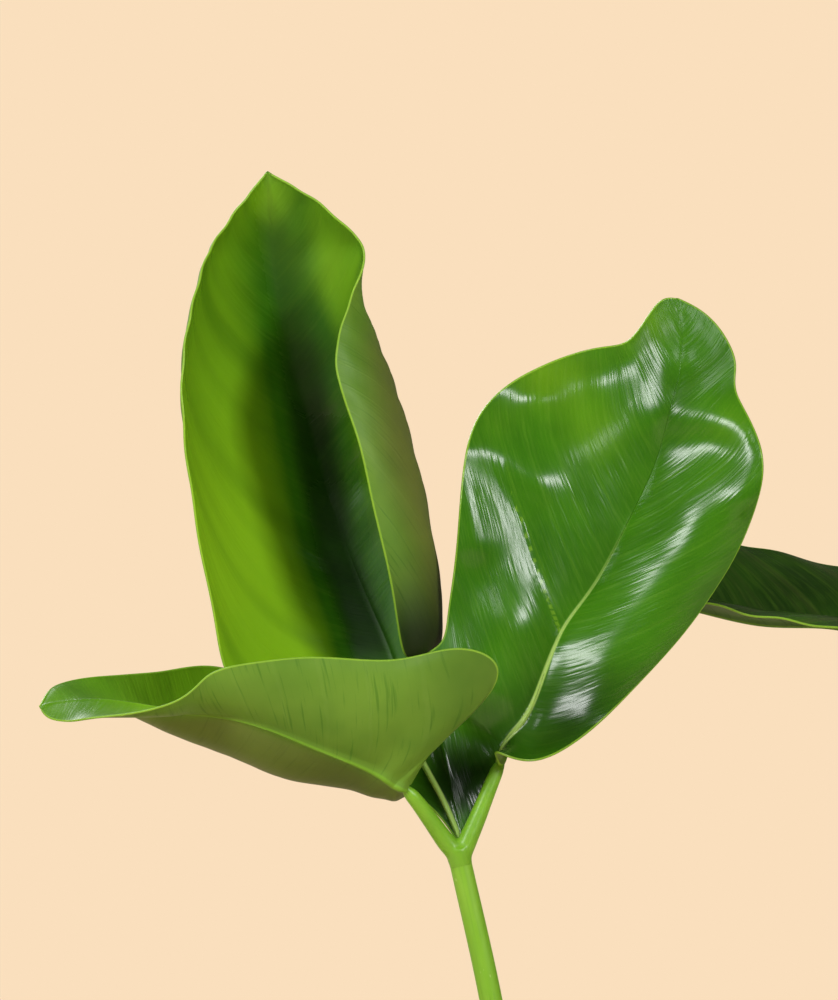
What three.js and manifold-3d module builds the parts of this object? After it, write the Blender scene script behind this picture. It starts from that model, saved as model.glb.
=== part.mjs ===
// A potted Philodendron goeldii: a young plant with five divided leaves on long stalks, in a plain clay pot.
// Units are millimetres, +Z is up, and the origin is the middle of the pot's foot, on the surface it stands on.
import * as THREE from 'three';
import { mergeVertices } from 'three/addons/utils/BufferGeometryUtils.js';
import Module from 'manifold-3d';

const wasm = await Module();
wasm.setup();

// Driving dimensions
const POT = {
  height: 118,
  footRadius: 43,
  rimRadius: 64,
  wall: 4.5,
  floor: 6,
  drainRadius: 5,
  drainAt: 22,
  bandHeight: 24,
  bandProud: 3.5,
};
const SOIL = { top: 101, crown: 3 };
const STEM = { radius: 9, top: 121, bottom: 78 };
const GAP = 0.3;
const BLADE = 0.8;
const ROUND_SIDES = 40;

const V = (x, y, z) => new THREE.Vector3(x, y, z);
const lerp = THREE.MathUtils.lerp;
const rad = THREE.MathUtils.degToRad;

// Solids

function toManifold(geometry) {
  const bare = geometry.clone();
  bare.deleteAttribute('normal');
  bare.deleteAttribute('uv');
  const merged = mergeVertices(bare, 1e-4);
  const corners = merged.index.array;
  const triangles = [];
  for (let i = 0; i < corners.length; i += 3) {
    const [a, b, c] = corners.slice(i, i + 3);
    if (a !== b && b !== c && c !== a) triangles.push(a, b, c);
  }
  return new wasm.Manifold(new wasm.Mesh({
    numProp: 3,
    vertProperties: merged.attributes.position.array,
    triVerts: new Uint32Array(triangles),
  }));
}

function toGeometry(solid) {
  const mesh = solid.getMesh();
  const geometry = new THREE.BufferGeometry();
  geometry.setAttribute('position', new THREE.BufferAttribute(new Float32Array(mesh.vertProperties), 3));
  geometry.setIndex(new THREE.BufferAttribute(new Uint32Array(mesh.triVerts), 1));
  geometry.computeVertexNormals();
  return geometry;
}

const largestBody = (solid) => solid.decompose().sort((a, b) => b.volume() - a.volume())[0];

function geometryFrom(points, triangles) {
  const geometry = new THREE.BufferGeometry();
  const numbers = points.flatMap((p) => [p.x, p.y, p.z]);
  geometry.setAttribute('position', new THREE.Float32BufferAttribute(numbers, 3));
  geometry.setIndex(triangles.flat());
  return geometry;
}

// Curves

// A natural cubic spline through evenly spaced values, as a function of 0 to values.length - 1.
function naturalSpline(values) {
  const last = values.length - 1;
  const bend = new Array(last + 1).fill(0);
  const carry = new Array(last + 1).fill(0);
  for (let i = 1; i < last; i++) {
    const pivot = 4 - carry[i - 1];
    carry[i] = 1 / pivot;
    bend[i] = (6 * (values[i + 1] - 2 * values[i] + values[i - 1]) - bend[i - 1]) / pivot;
  }
  for (let i = last - 1; i > 0; i--) bend[i] -= carry[i] * bend[i + 1];
  return (t) => {
    const i = Math.min(Math.floor(t), last - 1);
    const b = t - i;
    const a = 1 - b;
    return a * values[i] + b * values[i + 1] + ((a ** 3 - a) * bend[i] + (b ** 3 - b) * bend[i + 1]) / 6;
  };
}

function splineThrough(points) {
  const [x, y, z] = ['x', 'y', 'z'].map((axis) => naturalSpline(points.map((p) => p[axis])));
  return (t) => V(x(t), y(t), z(t));
}

// The point at share t of the arc from one point to another, whose middle is bowed out by `bow` towards `out`.
function arcPoint(from, to, out, bow, t) {
  const chord = to.clone().sub(from);
  const length = chord.length();
  if (length < 1e-3 || Math.abs(bow) < 0.01) return from.clone().lerp(to, t);
  const halfTurn = 2 * Math.atan(2 * bow / length);
  const radius = length / 2 / Math.sin(halfTurn);
  const turn = halfTurn * (2 * t - 1);
  return from.clone().lerp(to, 0.5)
    .addScaledVector(chord.normalize(), radius * Math.sin(turn))
    .addScaledVector(out, radius * (Math.cos(turn) - Math.cos(halfTurn)));
}

// A tube with closed ends along a smooth curve. radiusAt gives its radius at each millimetre along it.
function tube(path, radiusAt, steps, sides = 8) {
  const curve = new THREE.CatmullRomCurve3(path);
  const length = curve.getLength();
  const frames = curve.computeFrenetFrames(steps, false);
  const points = [];
  const triangles = [];
  for (let i = 0; i <= steps; i++) {
    const centre = curve.getPointAt(i / steps);
    const radius = radiusAt(length * i / steps, length);
    for (let j = 0; j < sides; j++) {
      const angle = 2 * Math.PI * j / sides;
      points.push(centre.clone()
        .addScaledVector(frames.normals[i], radius * Math.cos(angle))
        .addScaledVector(frames.binormals[i], radius * Math.sin(angle)));
      if (i === 0) continue;
      const [a, b] = [(i - 1) * sides + j, (i - 1) * sides + (j + 1) % sides];
      triangles.push([a, b, b + sides], [a, b + sides, a + sides]);
    }
  }
  for (const ring of [0, steps]) {
    const centre = points.push(curve.getPointAt(ring / steps)) - 1;
    for (let j = 0; j < sides; j++) {
      const [a, b] = [ring * sides + j, ring * sides + (j + 1) % sides];
      triangles.push(ring === 0 ? [centre, b, a] : [centre, a, b]);
    }
  }
  return toManifold(geometryFrom(points, triangles));
}

// Leaf blades
//
// A blade is a thin sheet, first made as one surface of points and then thickened on both faces.
// Its ribs run across it, one after another from the base to the tip. Each rib goes from the left margin to
// the midrib and on to the right margin, as an arc on each side.

// How far across each half the points lie, from the margin to the midrib.
const BUCKLED_ACROSS = [1, 0.86, 0.7, 0.54, 0.38, 0.22, 0.08];
const FINE_ACROSS = [1, 0.74, 0.44, 0.14];
const PLAIN_ACROSS = [1, 0.6, 0.14];
const bothHalves = (across) => [...across.map((s) => -s), 0, ...[...across].reverse()];

// ribs: { rib, left, leftBow, right, rightBow }, in points and millimetres. A bow above 0 points to the underside.
function gridFromRibs(ribs, stepsPerRib, shares) {
  const rows = ribs.map(({ rib, left, leftBow, right, rightBow }, i) => {
    const along = ribs[Math.min(i + 1, ribs.length - 1)].rib.clone().sub(ribs[Math.max(i - 1, 0)].rib);
    return shares.map((share) => {
      const margin = share < 0 ? left : right;
      const chord = margin.clone().sub(rib);
      const out = share < 0 ? chord.cross(along) : along.clone().cross(chord);
      return arcPoint(rib, margin, out.normalize(), share < 0 ? leftBow : rightBow, Math.abs(share));
    });
  });
  const lines = shares.map((_, j) => splineThrough(rows.map((row) => row[j])));
  const count = (ribs.length - 1) * stepsPerRib;
  return Array.from({ length: count + 1 }, (_, i) => lines.map((line) => line(i / stepsPerRib)));
}

// Joins grids of points into one sheet and gives it thickness. The upper face stands off the sheet by `over`, and
// the underside by under(along, column from the midrib).
function bladeSolid(grids, over, under) {
  const points = [];
  const drops = [];
  const known = new Map();
  const faces = [];
  for (const grid of grids) {
    const columns = grid[0].length;
    const midrib = (columns - 1) / 2;
    const at = grid.map((row, i) => row.map((p, j) => {
      const key = [p.x, p.y, p.z].map((c) => Math.round(c * 1e3)).join();
      if (!known.has(key)) {
        known.set(key, points.push(p) - 1);
        drops.push(under(i / (grid.length - 1), Math.abs(j - midrib)));
      }
      return known.get(key);
    }));
    for (let i = 1; i < grid.length; i++) {
      for (let j = 1; j < columns; j++) {
        const [a, b, c, d] = [at[i - 1][j - 1], at[i - 1][j], at[i][j], at[i][j - 1]];
        for (const face of j > midrib ? [[a, b, c], [a, c, d]] : [[a, b, d], [b, c, d]]) {
          if (new Set(face).size === 3) faces.push(face);
        }
      }
    }
  }
  const normals = points.map(() => V(0, 0, 0));
  for (const [a, b, c] of faces) {
    const normal = points[b].clone().sub(points[a]).cross(points[c].clone().sub(points[a]));
    for (const corner of [a, b, c]) normals[corner].add(normal);
  }
  normals.forEach((n) => n.normalize());
  const front = points.map((p, i) => p.clone().addScaledVector(normals[i], over));
  const back = points.map((p, i) => p.clone().addScaledVector(normals[i], -drops[i]));
  const count = points.length;
  const edges = new Map();
  for (const face of faces) {
    face.forEach((from, k) => {
      const to = face[(k + 1) % 3];
      if (!edges.delete(to + ',' + from)) edges.set(from + ',' + to, [from, to]);
    });
  }
  const walls = [...edges.values()].flatMap(([a, b]) => [[b, a, a + count], [b, a + count, b + count]]);
  const backs = faces.map(([a, b, c]) => [c + count, b + count, a + count]);
  return toManifold(geometryFrom([...front, ...back], [...faces, ...backs, ...walls]));
}

// The blade itself, with its midrib as a ridge on the underside that gets finer towards the tip. From the base
// to `start` the ridge is only beginning.
const ridgeAt = (along, ridge, start) => ridge * Math.min(1, along / start) * (1 - along) + 0.2;
const blade = (grids, ridge, start = 0.001) => bladeSolid(
  grids, BLADE / 2, (along, column) => BLADE / 2 + (column === 0 ? ridgeAt(along, ridge, start) : 0));

// The tall leaf at the front
//
// Its points are given as they look from the front, level with its middle: across and up from the fork, and how
// far behind it. Points further away spread from the line of sight in proportion.

const FORK = V(-39, -15, 330);
const EYE = { across: -9.3, up: 75, distance: 1200 };

function fromFront([across, up, behind]) {
  const spread = 1 + behind / EYE.distance;
  return V(
    FORK.x + EYE.across + (across - EYE.across) * spread,
    FORK.y + behind,
    FORK.z + EYE.up + (up - EYE.up) * spread,
  );
}

const asRibs = (rows) => rows.map(([rib, left, leftBow, right, rightBow]) => (
  { rib: fromFront(rib), left: fromFront(left), leftBow, right: fromFront(right), rightBow }
));

// The middle leaflet stands up as a trough, and its right half rolls over towards the front.
const MIDDLE_RIBS = [
  // midrib, left margin and its bow, right margin and its bow
  [[-0.3, 0.6, 0.3], [-0.8, 0.8, 0.3], 0, [0.2, 0.6, 0.3], 0],
  [[-3.5, 8.5, 3], [-6.1, 7.6, 4], 0.5, [-1.3, 9.1, 3], 0.3],
  [[-7, 15.2, 6], [-13.9, 12.8, 6], 1.5, [-3, 16.7, 5], 0.8],
  [[-10.2, 22, 10], [-25.4, 17.6, 5], 3, [-5.2, 26.3, 7], 1.5],
  [[-12.6, 31.5, 16], [-38.5, 23.7, 0], 5, [-9.1, 38.5, 8], 3],
  [[-15.7, 42.4, 22], [-49.1, 33.7, -6], 6.5, [-12.6, 42, 3], 10],
  [[-20.9, 54.3, 27], [-53.5, 47.8, -10], 7, [-15, 55, 0], 13.5],
  [[-26.5, 68.5, 30], [-57.6, 69.6, -12], 7, [-18.7, 71.7, -3], 15.5],
  [[-32, 84.8, 31], [-60.4, 90.2, -12], 7, [-23.5, 91.3, -4], 16],
  [[-36.5, 103.3, 29], [-60.2, 108.7, -9], 7, [-27.2, 107.6, -2], 14],
  [[-40, 120.7, 24], [-56.3, 125.4, -1], 5, [-21.7, 125.4, 6], 6],
  [[-40.9, 128.6, 21.5], [-53.4, 131.6, 4], 3.5, [-23.4, 132.6, 8], 4],
  [[-41.6, 136.3, 18], [-48.8, 138.2, 9], 1.5, [-31.4, 139.8, 10.5], 1.5],
  [[-42.2, 146.3, 13], [-42.6, 145.9, 13], 0, [-41.7, 145.9, 13], 0],
];

// The right leaflet faces the front. Its left half runs down the stalk, as one blade with the middle leaflet.
const RIGHT_RIBS = [
  [[0.7, 0.6, 0.3], [0.2, 0.6, 0.3], 0, [1.1, 0.6, 0.3], 0],
  [[3, 6.2, 1.2], [-1.3, 9.1, 3], 0.3, [3.5, 6.1, 1.2], 0],
  [[5.2, 11.4, 2], [-3, 16.7, 5], 0.8, [5.7, 11.3, 2], 0],
  [[7.6, 16.8, 3], [-5.2, 26.3, 7], 1.5, [8.1, 16.8, 3], 0],
  [[9.3, 21.7, 4], [-9.1, 38.5, 8], 2.5, [7.6, 20.2, -4], 1],
  [[13, 26.7, 6], [-4.8, 43.5, 7], 1, [14.8, 18.3, -2], 2],
  [[16.5, 33.7, 8], [-2.8, 50.7, 7], 1, [26.1, 23.5, 1], 0],
  [[21.7, 46.3, 10.2], [-1.3, 62, 7], 0.5, [39.1, 35.9, 5.5], -4],
  [[28.9, 56.5, 12.2], [-0.2, 75, 8.5], 0, [51.7, 50.7, 9], -5],
  [[36.5, 70.7, 13.8], [2.6, 90.7, 13], 0, [61.5, 67.4, 9], -5],
  [[42, 82.6, 15.8], [12.6, 101.5, 17], 0, [65.2, 84.8, 9], -3],
  [[44.8, 92.4, 17], [27.8, 107.6, 18.6], 0, [59.8, 97.8, 14], -1],
  [[47.4, 103.3, 18.4], [36.5, 109.8, 19.2], 0, [59.3, 105.4, 17], 0],
  [[47.8, 112, 20], [42.2, 117.2, 20.2], 0, [54.3, 114.1, 19.5], 0],
  [[46.7, 118.7, 21], [46.5, 118.7, 21], 0, [47, 118.7, 21], 0],
];

// The right leaflet is buckled. Each fold runs along a line of points, as it looks from the front, and stands out
// towards the front by its height.
const FOLDS = [
  { line: [[-1, 84], [1, 74], [3, 66]], height: 2, half: 5 },
  { line: [[10, 46], [4, 36]], height: 4.8, half: 11 },
  { line: [[-1, 89], [8, 85], [16, 79]], height: 1.5, half: 4.5 },
  { line: [[4, 101], [12, 96]], height: -3, half: 8 },
  { line: [[22, 110], [20, 98]], height: -4.5, half: 9 },
  { line: [[36, 104], [30, 101]], height: -3, half: 7 },
  { line: [[46, 94], [62, 91]], height: 2, half: 5 },
  { line: [[43, 75], [53, 87]], height: -3.2, half: 8 },
  { line: [[39, 66], [30, 53], [24, 42], [22, 28]], height: -2.4, half: 8 },
  { line: [[48, 105], [44, 104]], height: 2.2, half: 7 },
  { line: [[66, 84], [63, 76]], height: 2.5, half: 5 },
];
const FOLDS_BEGIN = 16;
const FOLDS_FULL = 34;

function distanceTo(line, across, up) {
  let nearest = Infinity;
  for (let i = 1; i < line.length; i++) {
    const [[fromX, fromY], [toX, toY]] = [line[i - 1], line[i]];
    const [runX, runY] = [toX - fromX, toY - fromY];
    const share = ((across - fromX) * runX + (up - fromY) * runY) / (runX ** 2 + runY ** 2);
    const t = THREE.MathUtils.clamp(share, 0, 1);
    nearest = Math.min(nearest, Math.hypot(across - fromX - t * runX, up - fromY - t * runY));
  }
  return nearest;
}

function buckled(point) {
  const behind = point.y - FORK.y;
  const spread = 1 + behind / EYE.distance;
  const across = EYE.across + (point.x - FORK.x - EYE.across) / spread;
  const up = EYE.up + (point.z - FORK.z - EYE.up) / spread;
  let rise = 0;
  for (const { line, height, half } of FOLDS) {
    rise += height * Math.exp(-((distanceTo(line, across, up) / half) ** 2));
  }
  return fromFront([across, up, behind - rise * THREE.MathUtils.smoothstep(up, FOLDS_BEGIN, FOLDS_FULL)]);
}

// The left leaflet reaches out level, as a trough whose near wall hides its inside.
const LEFT_RIBS = [
  [[-12.6, 12.4, -6], [-11.1, 13.3, -6], 0, [-11.7, 10.9, -2], 0],
  [[-13.5, 12.8, -7], [-4.4, 23.4, -12], 0.3, [-14.2, 10.4, 3], 1.5],
  [[-14.8, 13.4, -7], [4.4, 31.2, -17], 0.4, [-15.7, 11.6, 8], 2.5],
  [[-16.5, 14.6, -8], [7.4, 39.2, -20], 1.5, [-17.8, 14, 14], 4.2],
  [[-19.1, 16.2, -8], [-1.5, 42.6, -20], 2.5, [-20, 17.9, 18], 6],
  [[-24.3, 18.6, -9], [-14.6, 40.2, -18], 3, [-24.8, 22, 24], 8],
  [[-34.1, 22.5, -9], [-30.2, 40.7, -17], 2.5, [-34.8, 26, 26], 10.3],
  [[-43.5, 26.2, -8], [-43.5, 39.8, -16], 2, [-44.3, 35, 26], 12.8],
  [[-53.7, 28.6, -6], [-54.8, 37, -15], 2, [-55.4, 38.8, 24], 12.2],
  [[-64.6, 29.6, -5], [-62.4, 31.1, -16], 2, [-65.2, 37.6, 18], 8],
  [[-76.5, 31.3, -4], [-77.4, 27.9, -14], 1, [-76.5, 36.7, 12], 3],
  [[-85.2, 31.1, -3], [-85.2, 27, -10], 0, [-86.3, 35.3, 6], 0],
  [[-89.4, 30.5, -3], [-89.5, 27.6, -6.5], 0, [-89.9, 33.2, 1], 0],
  [[-91.6, 30, -3], [-91.5, 29.7, -3], 0, [-91.6, 30.3, -3], 0],
];

// A leaflet of the next leaf points left behind the right leaflet, seen almost edge on from the front.
const BEHIND_RIBS = [
  [[134.5, 30, 41], [134.8, 30.2, 40.4], 0, [134.3, 30.6, 41.6], 0],
  [[122, 35.5, 40], [121, 36, 32], -0.8, [122, 42, 47], -0.8],
  [[108, 40.5, 38.5], [106, 41, 24], -1.4, [108, 51, 49], -1.4],
  [[94, 44.8, 37.5], [92, 44.8, 19], -1.8, [94, 57, 51.5], -1.8],
  [[80, 48, 36.5], [78.5, 47.6, 16.5], -1.8, [81, 60.6, 53], -1.8],
  [[66, 48.4, 36], [65.5, 49.6, 16.5], -1.8, [67, 63.8, 53], -1.8],
  [[52, 51.2, 36], [52.5, 52.7, 18], -1.6, [53, 67, 50], -1.6],
  [[38, 54.2, 36.5], [39.5, 56.5, 23], -1, [39.5, 68.5, 45], -1],
  [[26, 56.5, 37], [27, 58.5, 30], -0.4, [27, 64, 41], -0.4],
  [[17, 58, 37.5], [17.3, 58.2, 37.2], 0, [17.3, 58.4, 37.8], 0],
];

const SHARED_RIBS = 4;
const HERO_STEPS = 2;
const HERO_RIDGE = 1.6;

const part = new THREE.Group();

const matte = (color, roughness) => new THREE.MeshStandardMaterial({ color, roughness, metalness: 0 });

function add(name, solid, material) {
  const mesh = new THREE.Mesh(toGeometry(solid), material);
  mesh.name = name;
  part.add(mesh);
}

// The pot: thrown clay with a thicker band at its rim, and drainage holes off the middle of its floor

function lathe(profile, sides = ROUND_SIDES) {
  const points = profile.map(([r, z]) => new THREE.Vector2(r, z));
  return toManifold(new THREE.LatheGeometry(points, sides).rotateX(Math.PI / 2));
}

const wallRadius = (z) => lerp(POT.footRadius, POT.rimRadius - POT.bandProud, z / POT.height);
const innerRadius = (z) => wallRadius(z) - POT.wall;
const bandBottom = POT.height - POT.bandHeight;

let pot = lathe([
  [0, 0],
  [POT.footRadius - 1.5, 0],
  [POT.footRadius, 1.5],
  [wallRadius(bandBottom), bandBottom],
  [wallRadius(bandBottom) + POT.bandProud - 1, bandBottom + 0.6],
  [wallRadius(bandBottom) + POT.bandProud, bandBottom + 2],
  [POT.rimRadius, POT.height - 2],
  [POT.rimRadius - 1.5, POT.height],
  [innerRadius(POT.height) + 1.5, POT.height],
  [innerRadius(POT.height), POT.height - 1.5],
  [innerRadius(POT.floor), POT.floor],
  [0, POT.floor],
]);
for (let i = 0; i < 3; i++) {
  const angle = 2 * Math.PI * i / 3;
  const drill = new THREE.CylinderGeometry(POT.drainRadius, POT.drainRadius, POT.floor * 3, 16);
  drill.rotateX(Math.PI / 2);
  drill.translate(POT.drainAt * Math.cos(angle), POT.drainAt * Math.sin(angle), 0);
  pot = pot.subtract(toManifold(drill));
}
add('pot', pot, matte('#b5613d', 0.85));

// The crown: a short stem, and the stalks that spring from it. Each new stalk is cut clear of what is there.

const stemProfile = (grow) => [
  [0, STEM.bottom - grow],
  [STEM.radius - 1 + grow, STEM.bottom - grow],
  [STEM.radius + grow, SOIL.top],
  [STEM.radius + 0.7 + grow, SOIL.top + 5],
  [STEM.radius - 0.3 + grow, SOIL.top + 7],
  [STEM.radius + 0.1 + grow, SOIL.top + 12],
  [STEM.radius - 1.6 + grow, STEM.top - 3 + grow],
  [STEM.radius - 4.5 + grow, STEM.top + grow],
  [0, STEM.top + 0.6 + grow],
];
add('stem', lathe(stemProfile(0), 20), matte('#6f7f43', 0.7));
let crown = lathe(stemProfile(GAP), 20);

function ball(centre, radius) {
  return toManifold(new THREE.IcosahedronGeometry(radius, 1).translate(centre.x, centre.y, centre.z));
}

// A stalk's foot is swollen where it clasps the stem.
const stalkRadius = (top) => (distance, length) => (
  lerp(3, top, distance / length) + 2.6 * Math.exp(-distance / 12)
);

function addStalk(name, path, top, color) {
  const radius = stalkRadius(top);
  const grown = (extra) => tube(path, (distance, length) => radius(distance, length) + extra, 10);
  add(name, largestBody(grown(0).subtract(crown)), matte(color, 0.5));
  crown = crown.add(grown(GAP));
}

// The fork of a leaf: the end of its stalk, a knuckle, and the arms that carry the leaflets, all fused with them.
// The stalk below it stops short by the gap.
const STUB = 4;

function forkBelow(fork, from, radius) {
  const down = from.clone().sub(fork).normalize();
  const joint = fork.clone().addScaledVector(down, STUB);
  return {
    stalkEnd: joint.clone().addScaledVector(down, GAP),
    knuckle: ball(fork, radius + 0.3).add(tube([joint, fork.clone()], () => radius, 1)),
  };
}

function oneBody(solids) {
  const bodies = solids.reduce((whole, solid) => whole.add(solid)).decompose();
  if (bodies.length > 1) throw new Error(`the leaf is in ${bodies.length} pieces`);
  return bodies[0];
}

// The other leaves
//
// A leaflet is shaped by its length and width, how steeply its halves fold up from the midrib, how it arches
// down towards its tip, and a slow wave in its margins.

const LEAFLET_STEPS = 2;
const LEAFLET_RIDGE = 1.2;
const HALF_WIDTHS = [0.05, 0.52, 0.87, 1, 0.9, 0.58, 0.02];

const headingVector = (heading, pitch) => V(
  Math.cos(rad(heading)) * Math.cos(rad(pitch)),
  Math.sin(rad(heading)) * Math.cos(rad(pitch)),
  Math.sin(rad(pitch)),
);

function leafletRibs({ base, heading, pitch, length, width, fold, arch, bow = -0.1, wave = 0, phase = 0 }) {
  const along = headingVector(heading, pitch);
  const side = V(0, 0, 1).cross(along).negate().normalize();
  const up = side.clone().cross(along);
  return HALF_WIDTHS.map((share, i) => {
    const t = i / (HALF_WIDTHS.length - 1);
    const bend = rad(arch) * t;
    const rib = base.clone()
      .addScaledVector(along, length * Math.sin(bend) / rad(arch))
      .addScaledVector(up, -length * (1 - Math.cos(bend)) / rad(arch));
    const lift = up.clone().multiplyScalar(Math.cos(bend)).addScaledVector(along, Math.sin(bend));
    const half = Math.max(width / 2 * share, 0.5);
    const margin = (hand) => {
      const slope = rad(fold + wave * Math.sin(2 * Math.PI * (1.6 * t + phase + hand * 0.13)));
      return rib.clone()
        .addScaledVector(side, hand * half * Math.cos(slope))
        .addScaledVector(lift, half * Math.sin(slope));
    };
    return { rib, left: margin(-1), leftBow: bow * half, right: margin(1), rightBow: bow * half };
  });
}

// A leaf on its stalk: a middle leaflet, and pairs of side leaflets on two arms that spread from the fork. A
// leaflet with ribs of its own takes its form and place from them.
function addLeaf(name, { fork, foot, heading, tilt, leaflets, green, stalkGreen }) {
  const { stalkEnd, knuckle } = forkBelow(fork, foot.at(-1), 2.1);
  const solids = [knuckle];
  for (const leaflet of leaflets) {
    const pair = Math.abs(leaflet.turn) > 90 ? 2 : Math.sign(Math.abs(leaflet.turn));
    const spread = headingVector(heading + leaflet.turn * 0.75, tilt);
    const out = headingVector(heading + leaflet.turn, leaflet.pitch);
    const base = fork.clone().addScaledVector(spread, [5, 12, 17][pair]).addScaledVector(out, 4);
    const ribs = leaflet.ribs ?? leafletRibs({ ...leaflet, base, heading: heading + leaflet.turn });
    const bend = fork.clone().addScaledVector(spread, [3, 9, 14][pair]);
    const root = ribs[0].rib.clone().lerp(ribs[1].rib, 0.25);
    const armRadius = (distance, length) => lerp(2, 0.9, distance / length);
    const grid = gridFromRibs(ribs, leaflet.ribs ? 1 : LEAFLET_STEPS, bothHalves(PLAIN_ACROSS));
    solids.push(tube([fork.clone(), bend, ribs[0].rib, root], armRadius, 5, 6));
    solids.push(blade([grid], LEAFLET_RIDGE));
  }
  addStalk(`${name}_stalk`, [...foot, stalkEnd], 2.1, stalkGreen);
  add(`${name}_blade`, oneBody(solids), matte(green, 0.35));
}

// From the oldest leaf, low at the front, to the youngest but one, high on the right.
addLeaf('leaf5', {
  fork: V(-34, -86, 178), heading: 248, tilt: 5, green: '#2f6413', stalkGreen: '#6f9a2e',
  foot: [V(-1, -3, 107), V(-5, -15, 116), V(-17, -48, 150)],
  leaflets: [
    { turn: 0, pitch: 6, length: 94, width: 47, fold: 16, arch: 52, wave: 7 },
    { turn: 78, pitch: 10, length: 86, width: 43, fold: 18, arch: 44, wave: 6, phase: 0.3 },
    { turn: -78, pitch: 8, length: 86, width: 43, fold: 20, arch: 50, wave: 6, phase: 0.6 },
  ],
});
addLeaf('leaf4', {
  fork: V(80, -64, 224), heading: 318, tilt: 6, green: '#326b14', stalkGreen: '#739f30',
  foot: [V(2, -2, 109), V(12, -9, 118), V(44, -34, 170)],
  leaflets: [
    { turn: 0, pitch: 14, length: 118, width: 54, fold: 20, arch: 50, wave: 7, phase: 0.2 },
    { turn: 74, pitch: 16, length: 108, width: 49, fold: 22, arch: 42, wave: 7, phase: 0.5 },
    { turn: -74, pitch: 12, length: 108, width: 49, fold: 22, arch: 44, wave: 7, phase: 0.9 },
  ],
});
addLeaf('leaf3', {
  fork: V(-84, 44, 234), heading: 152, tilt: 8, green: '#346f15', stalkGreen: '#78a531',
  foot: [V(-2, 1, 111), V(-12, 6, 121), V(-48, 24, 178)],
  leaflets: [
    { turn: 0, pitch: 16, length: 120, width: 52, fold: 24, arch: 50, wave: 7, phase: 0.4 },
    { turn: 56, pitch: 14, length: 112, width: 48, fold: 24, arch: 44, wave: 7, phase: 0.1 },
    { turn: -56, pitch: 18, length: 112, width: 48, fold: 24, arch: 46, wave: 7, phase: 0.7 },
    { turn: 114, pitch: 8, length: 94, width: 42, fold: 26, arch: 38, wave: 6, phase: 0.5 },
    { turn: -114, pitch: 14, length: 94, width: 42, fold: 26, arch: 40, wave: 6, phase: 0.2 },
  ],
});
addLeaf('leaf2', {
  fork: V(110, 26, 353), heading: 62, tilt: 14, green: '#2f6813', stalkGreen: '#7bab33',
  foot: [V(3, 1, 114), V(12, 4, 130), V(62, 18, 240), V(96, 25, 320)],
  leaflets: [
    { turn: 0, pitch: 34, length: 120, width: 52, fold: 28, arch: 48, wave: 7, phase: 0.6 },
    { turn: 54, pitch: 34, length: 110, width: 48, fold: 28, arch: 42, wave: 7, phase: 0.2 },
    { turn: -56, pitch: 28, length: 114, width: 50, fold: 26, arch: 50, wave: 7, phase: 0.8 },
    { turn: 114, pitch: 22, ribs: asRibs(BEHIND_RIBS) },
    { turn: -114, pitch: 12, length: 98, width: 44, fold: 24, arch: 48, wave: 6, phase: 0.1 },
  ],
});

// The tall leaf: the middle and right leaflets are one blade, sewn along the first ribs as far as the sinus.
const shares = bothHalves(FINE_ACROSS);
const middle = gridFromRibs(asRibs(MIDDLE_RIBS), HERO_STEPS, shares);
const right = gridFromRibs(asRibs(RIGHT_RIBS), HERO_STEPS, bothHalves(BUCKLED_ACROSS))
  .map((row) => row.map(buckled));
const left = gridFromRibs(asRibs(LEFT_RIBS), HERO_STEPS, shares);
for (let i = 0; i <= SHARED_RIBS * HERO_STEPS; i++) right[i][0] = middle[i].at(-1).clone();

// The stalk forks in two arms. One runs out to the left leaflet, the other up the edge of the joined blade.
const arm = (points, end) => tube(
  points.map(fromFront), (distance) => end + (2.3 - end) * Math.exp(-distance / 5), 6);
const tallFoot = [V(-2.5, -1.5, 117), V(-6, -3.5, 128), V(-19, -9, 200), V(-31.5, -14, 290)];
const tallFork = forkBelow(fromFront([-0.8, -1.4, 0]), tallFoot.at(-1), 2.4);
addStalk('leaf1_stalk', [...tallFoot, tallFork.stalkEnd], 2.4, '#7fb125');
add('leaf1_blade', oneBody([
  tallFork.knuckle,
  arm([[-0.7, -4, 0], [-3.5, 0.8, -0.8], [-7.3, 6.1, -3], [-10.4, 10.2, -5], [-13.2, 13.1, -6.4]], 1.5),
  arm([[-0.6, -4, 0], [1.3, 1, 0.4], [3.5, 6.1, 1.5], [5.6, 11.3, 2.4], [8, 17, 3.6], [10, 21.5, 4.6]], 1.3),
  blade([middle, right], HERO_RIDGE, 0.3),
  blade([left], HERO_RIDGE),
]), matte('#3f8016', 0.3));

// The newest leaf, still rolled up, rises from the middle of the crown in the shelter of a papery sheath.
const SPEAR = [V(1, 1, 116), V(2.4, 2.4, 146), V(5, 4.5, 176), V(9, 7, 204)];
const spearRadius = (distance, length) => 0.8 + 3 * Math.sin(Math.PI * (0.35 + 0.65 * distance / length));
add('new_leaf', largestBody(tube(SPEAR, spearRadius, 12).subtract(crown)), matte('#8fbf3f', 0.45));
crown = crown.add(tube(SPEAR, (distance, length) => spearRadius(distance, length) + GAP, 12));

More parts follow.
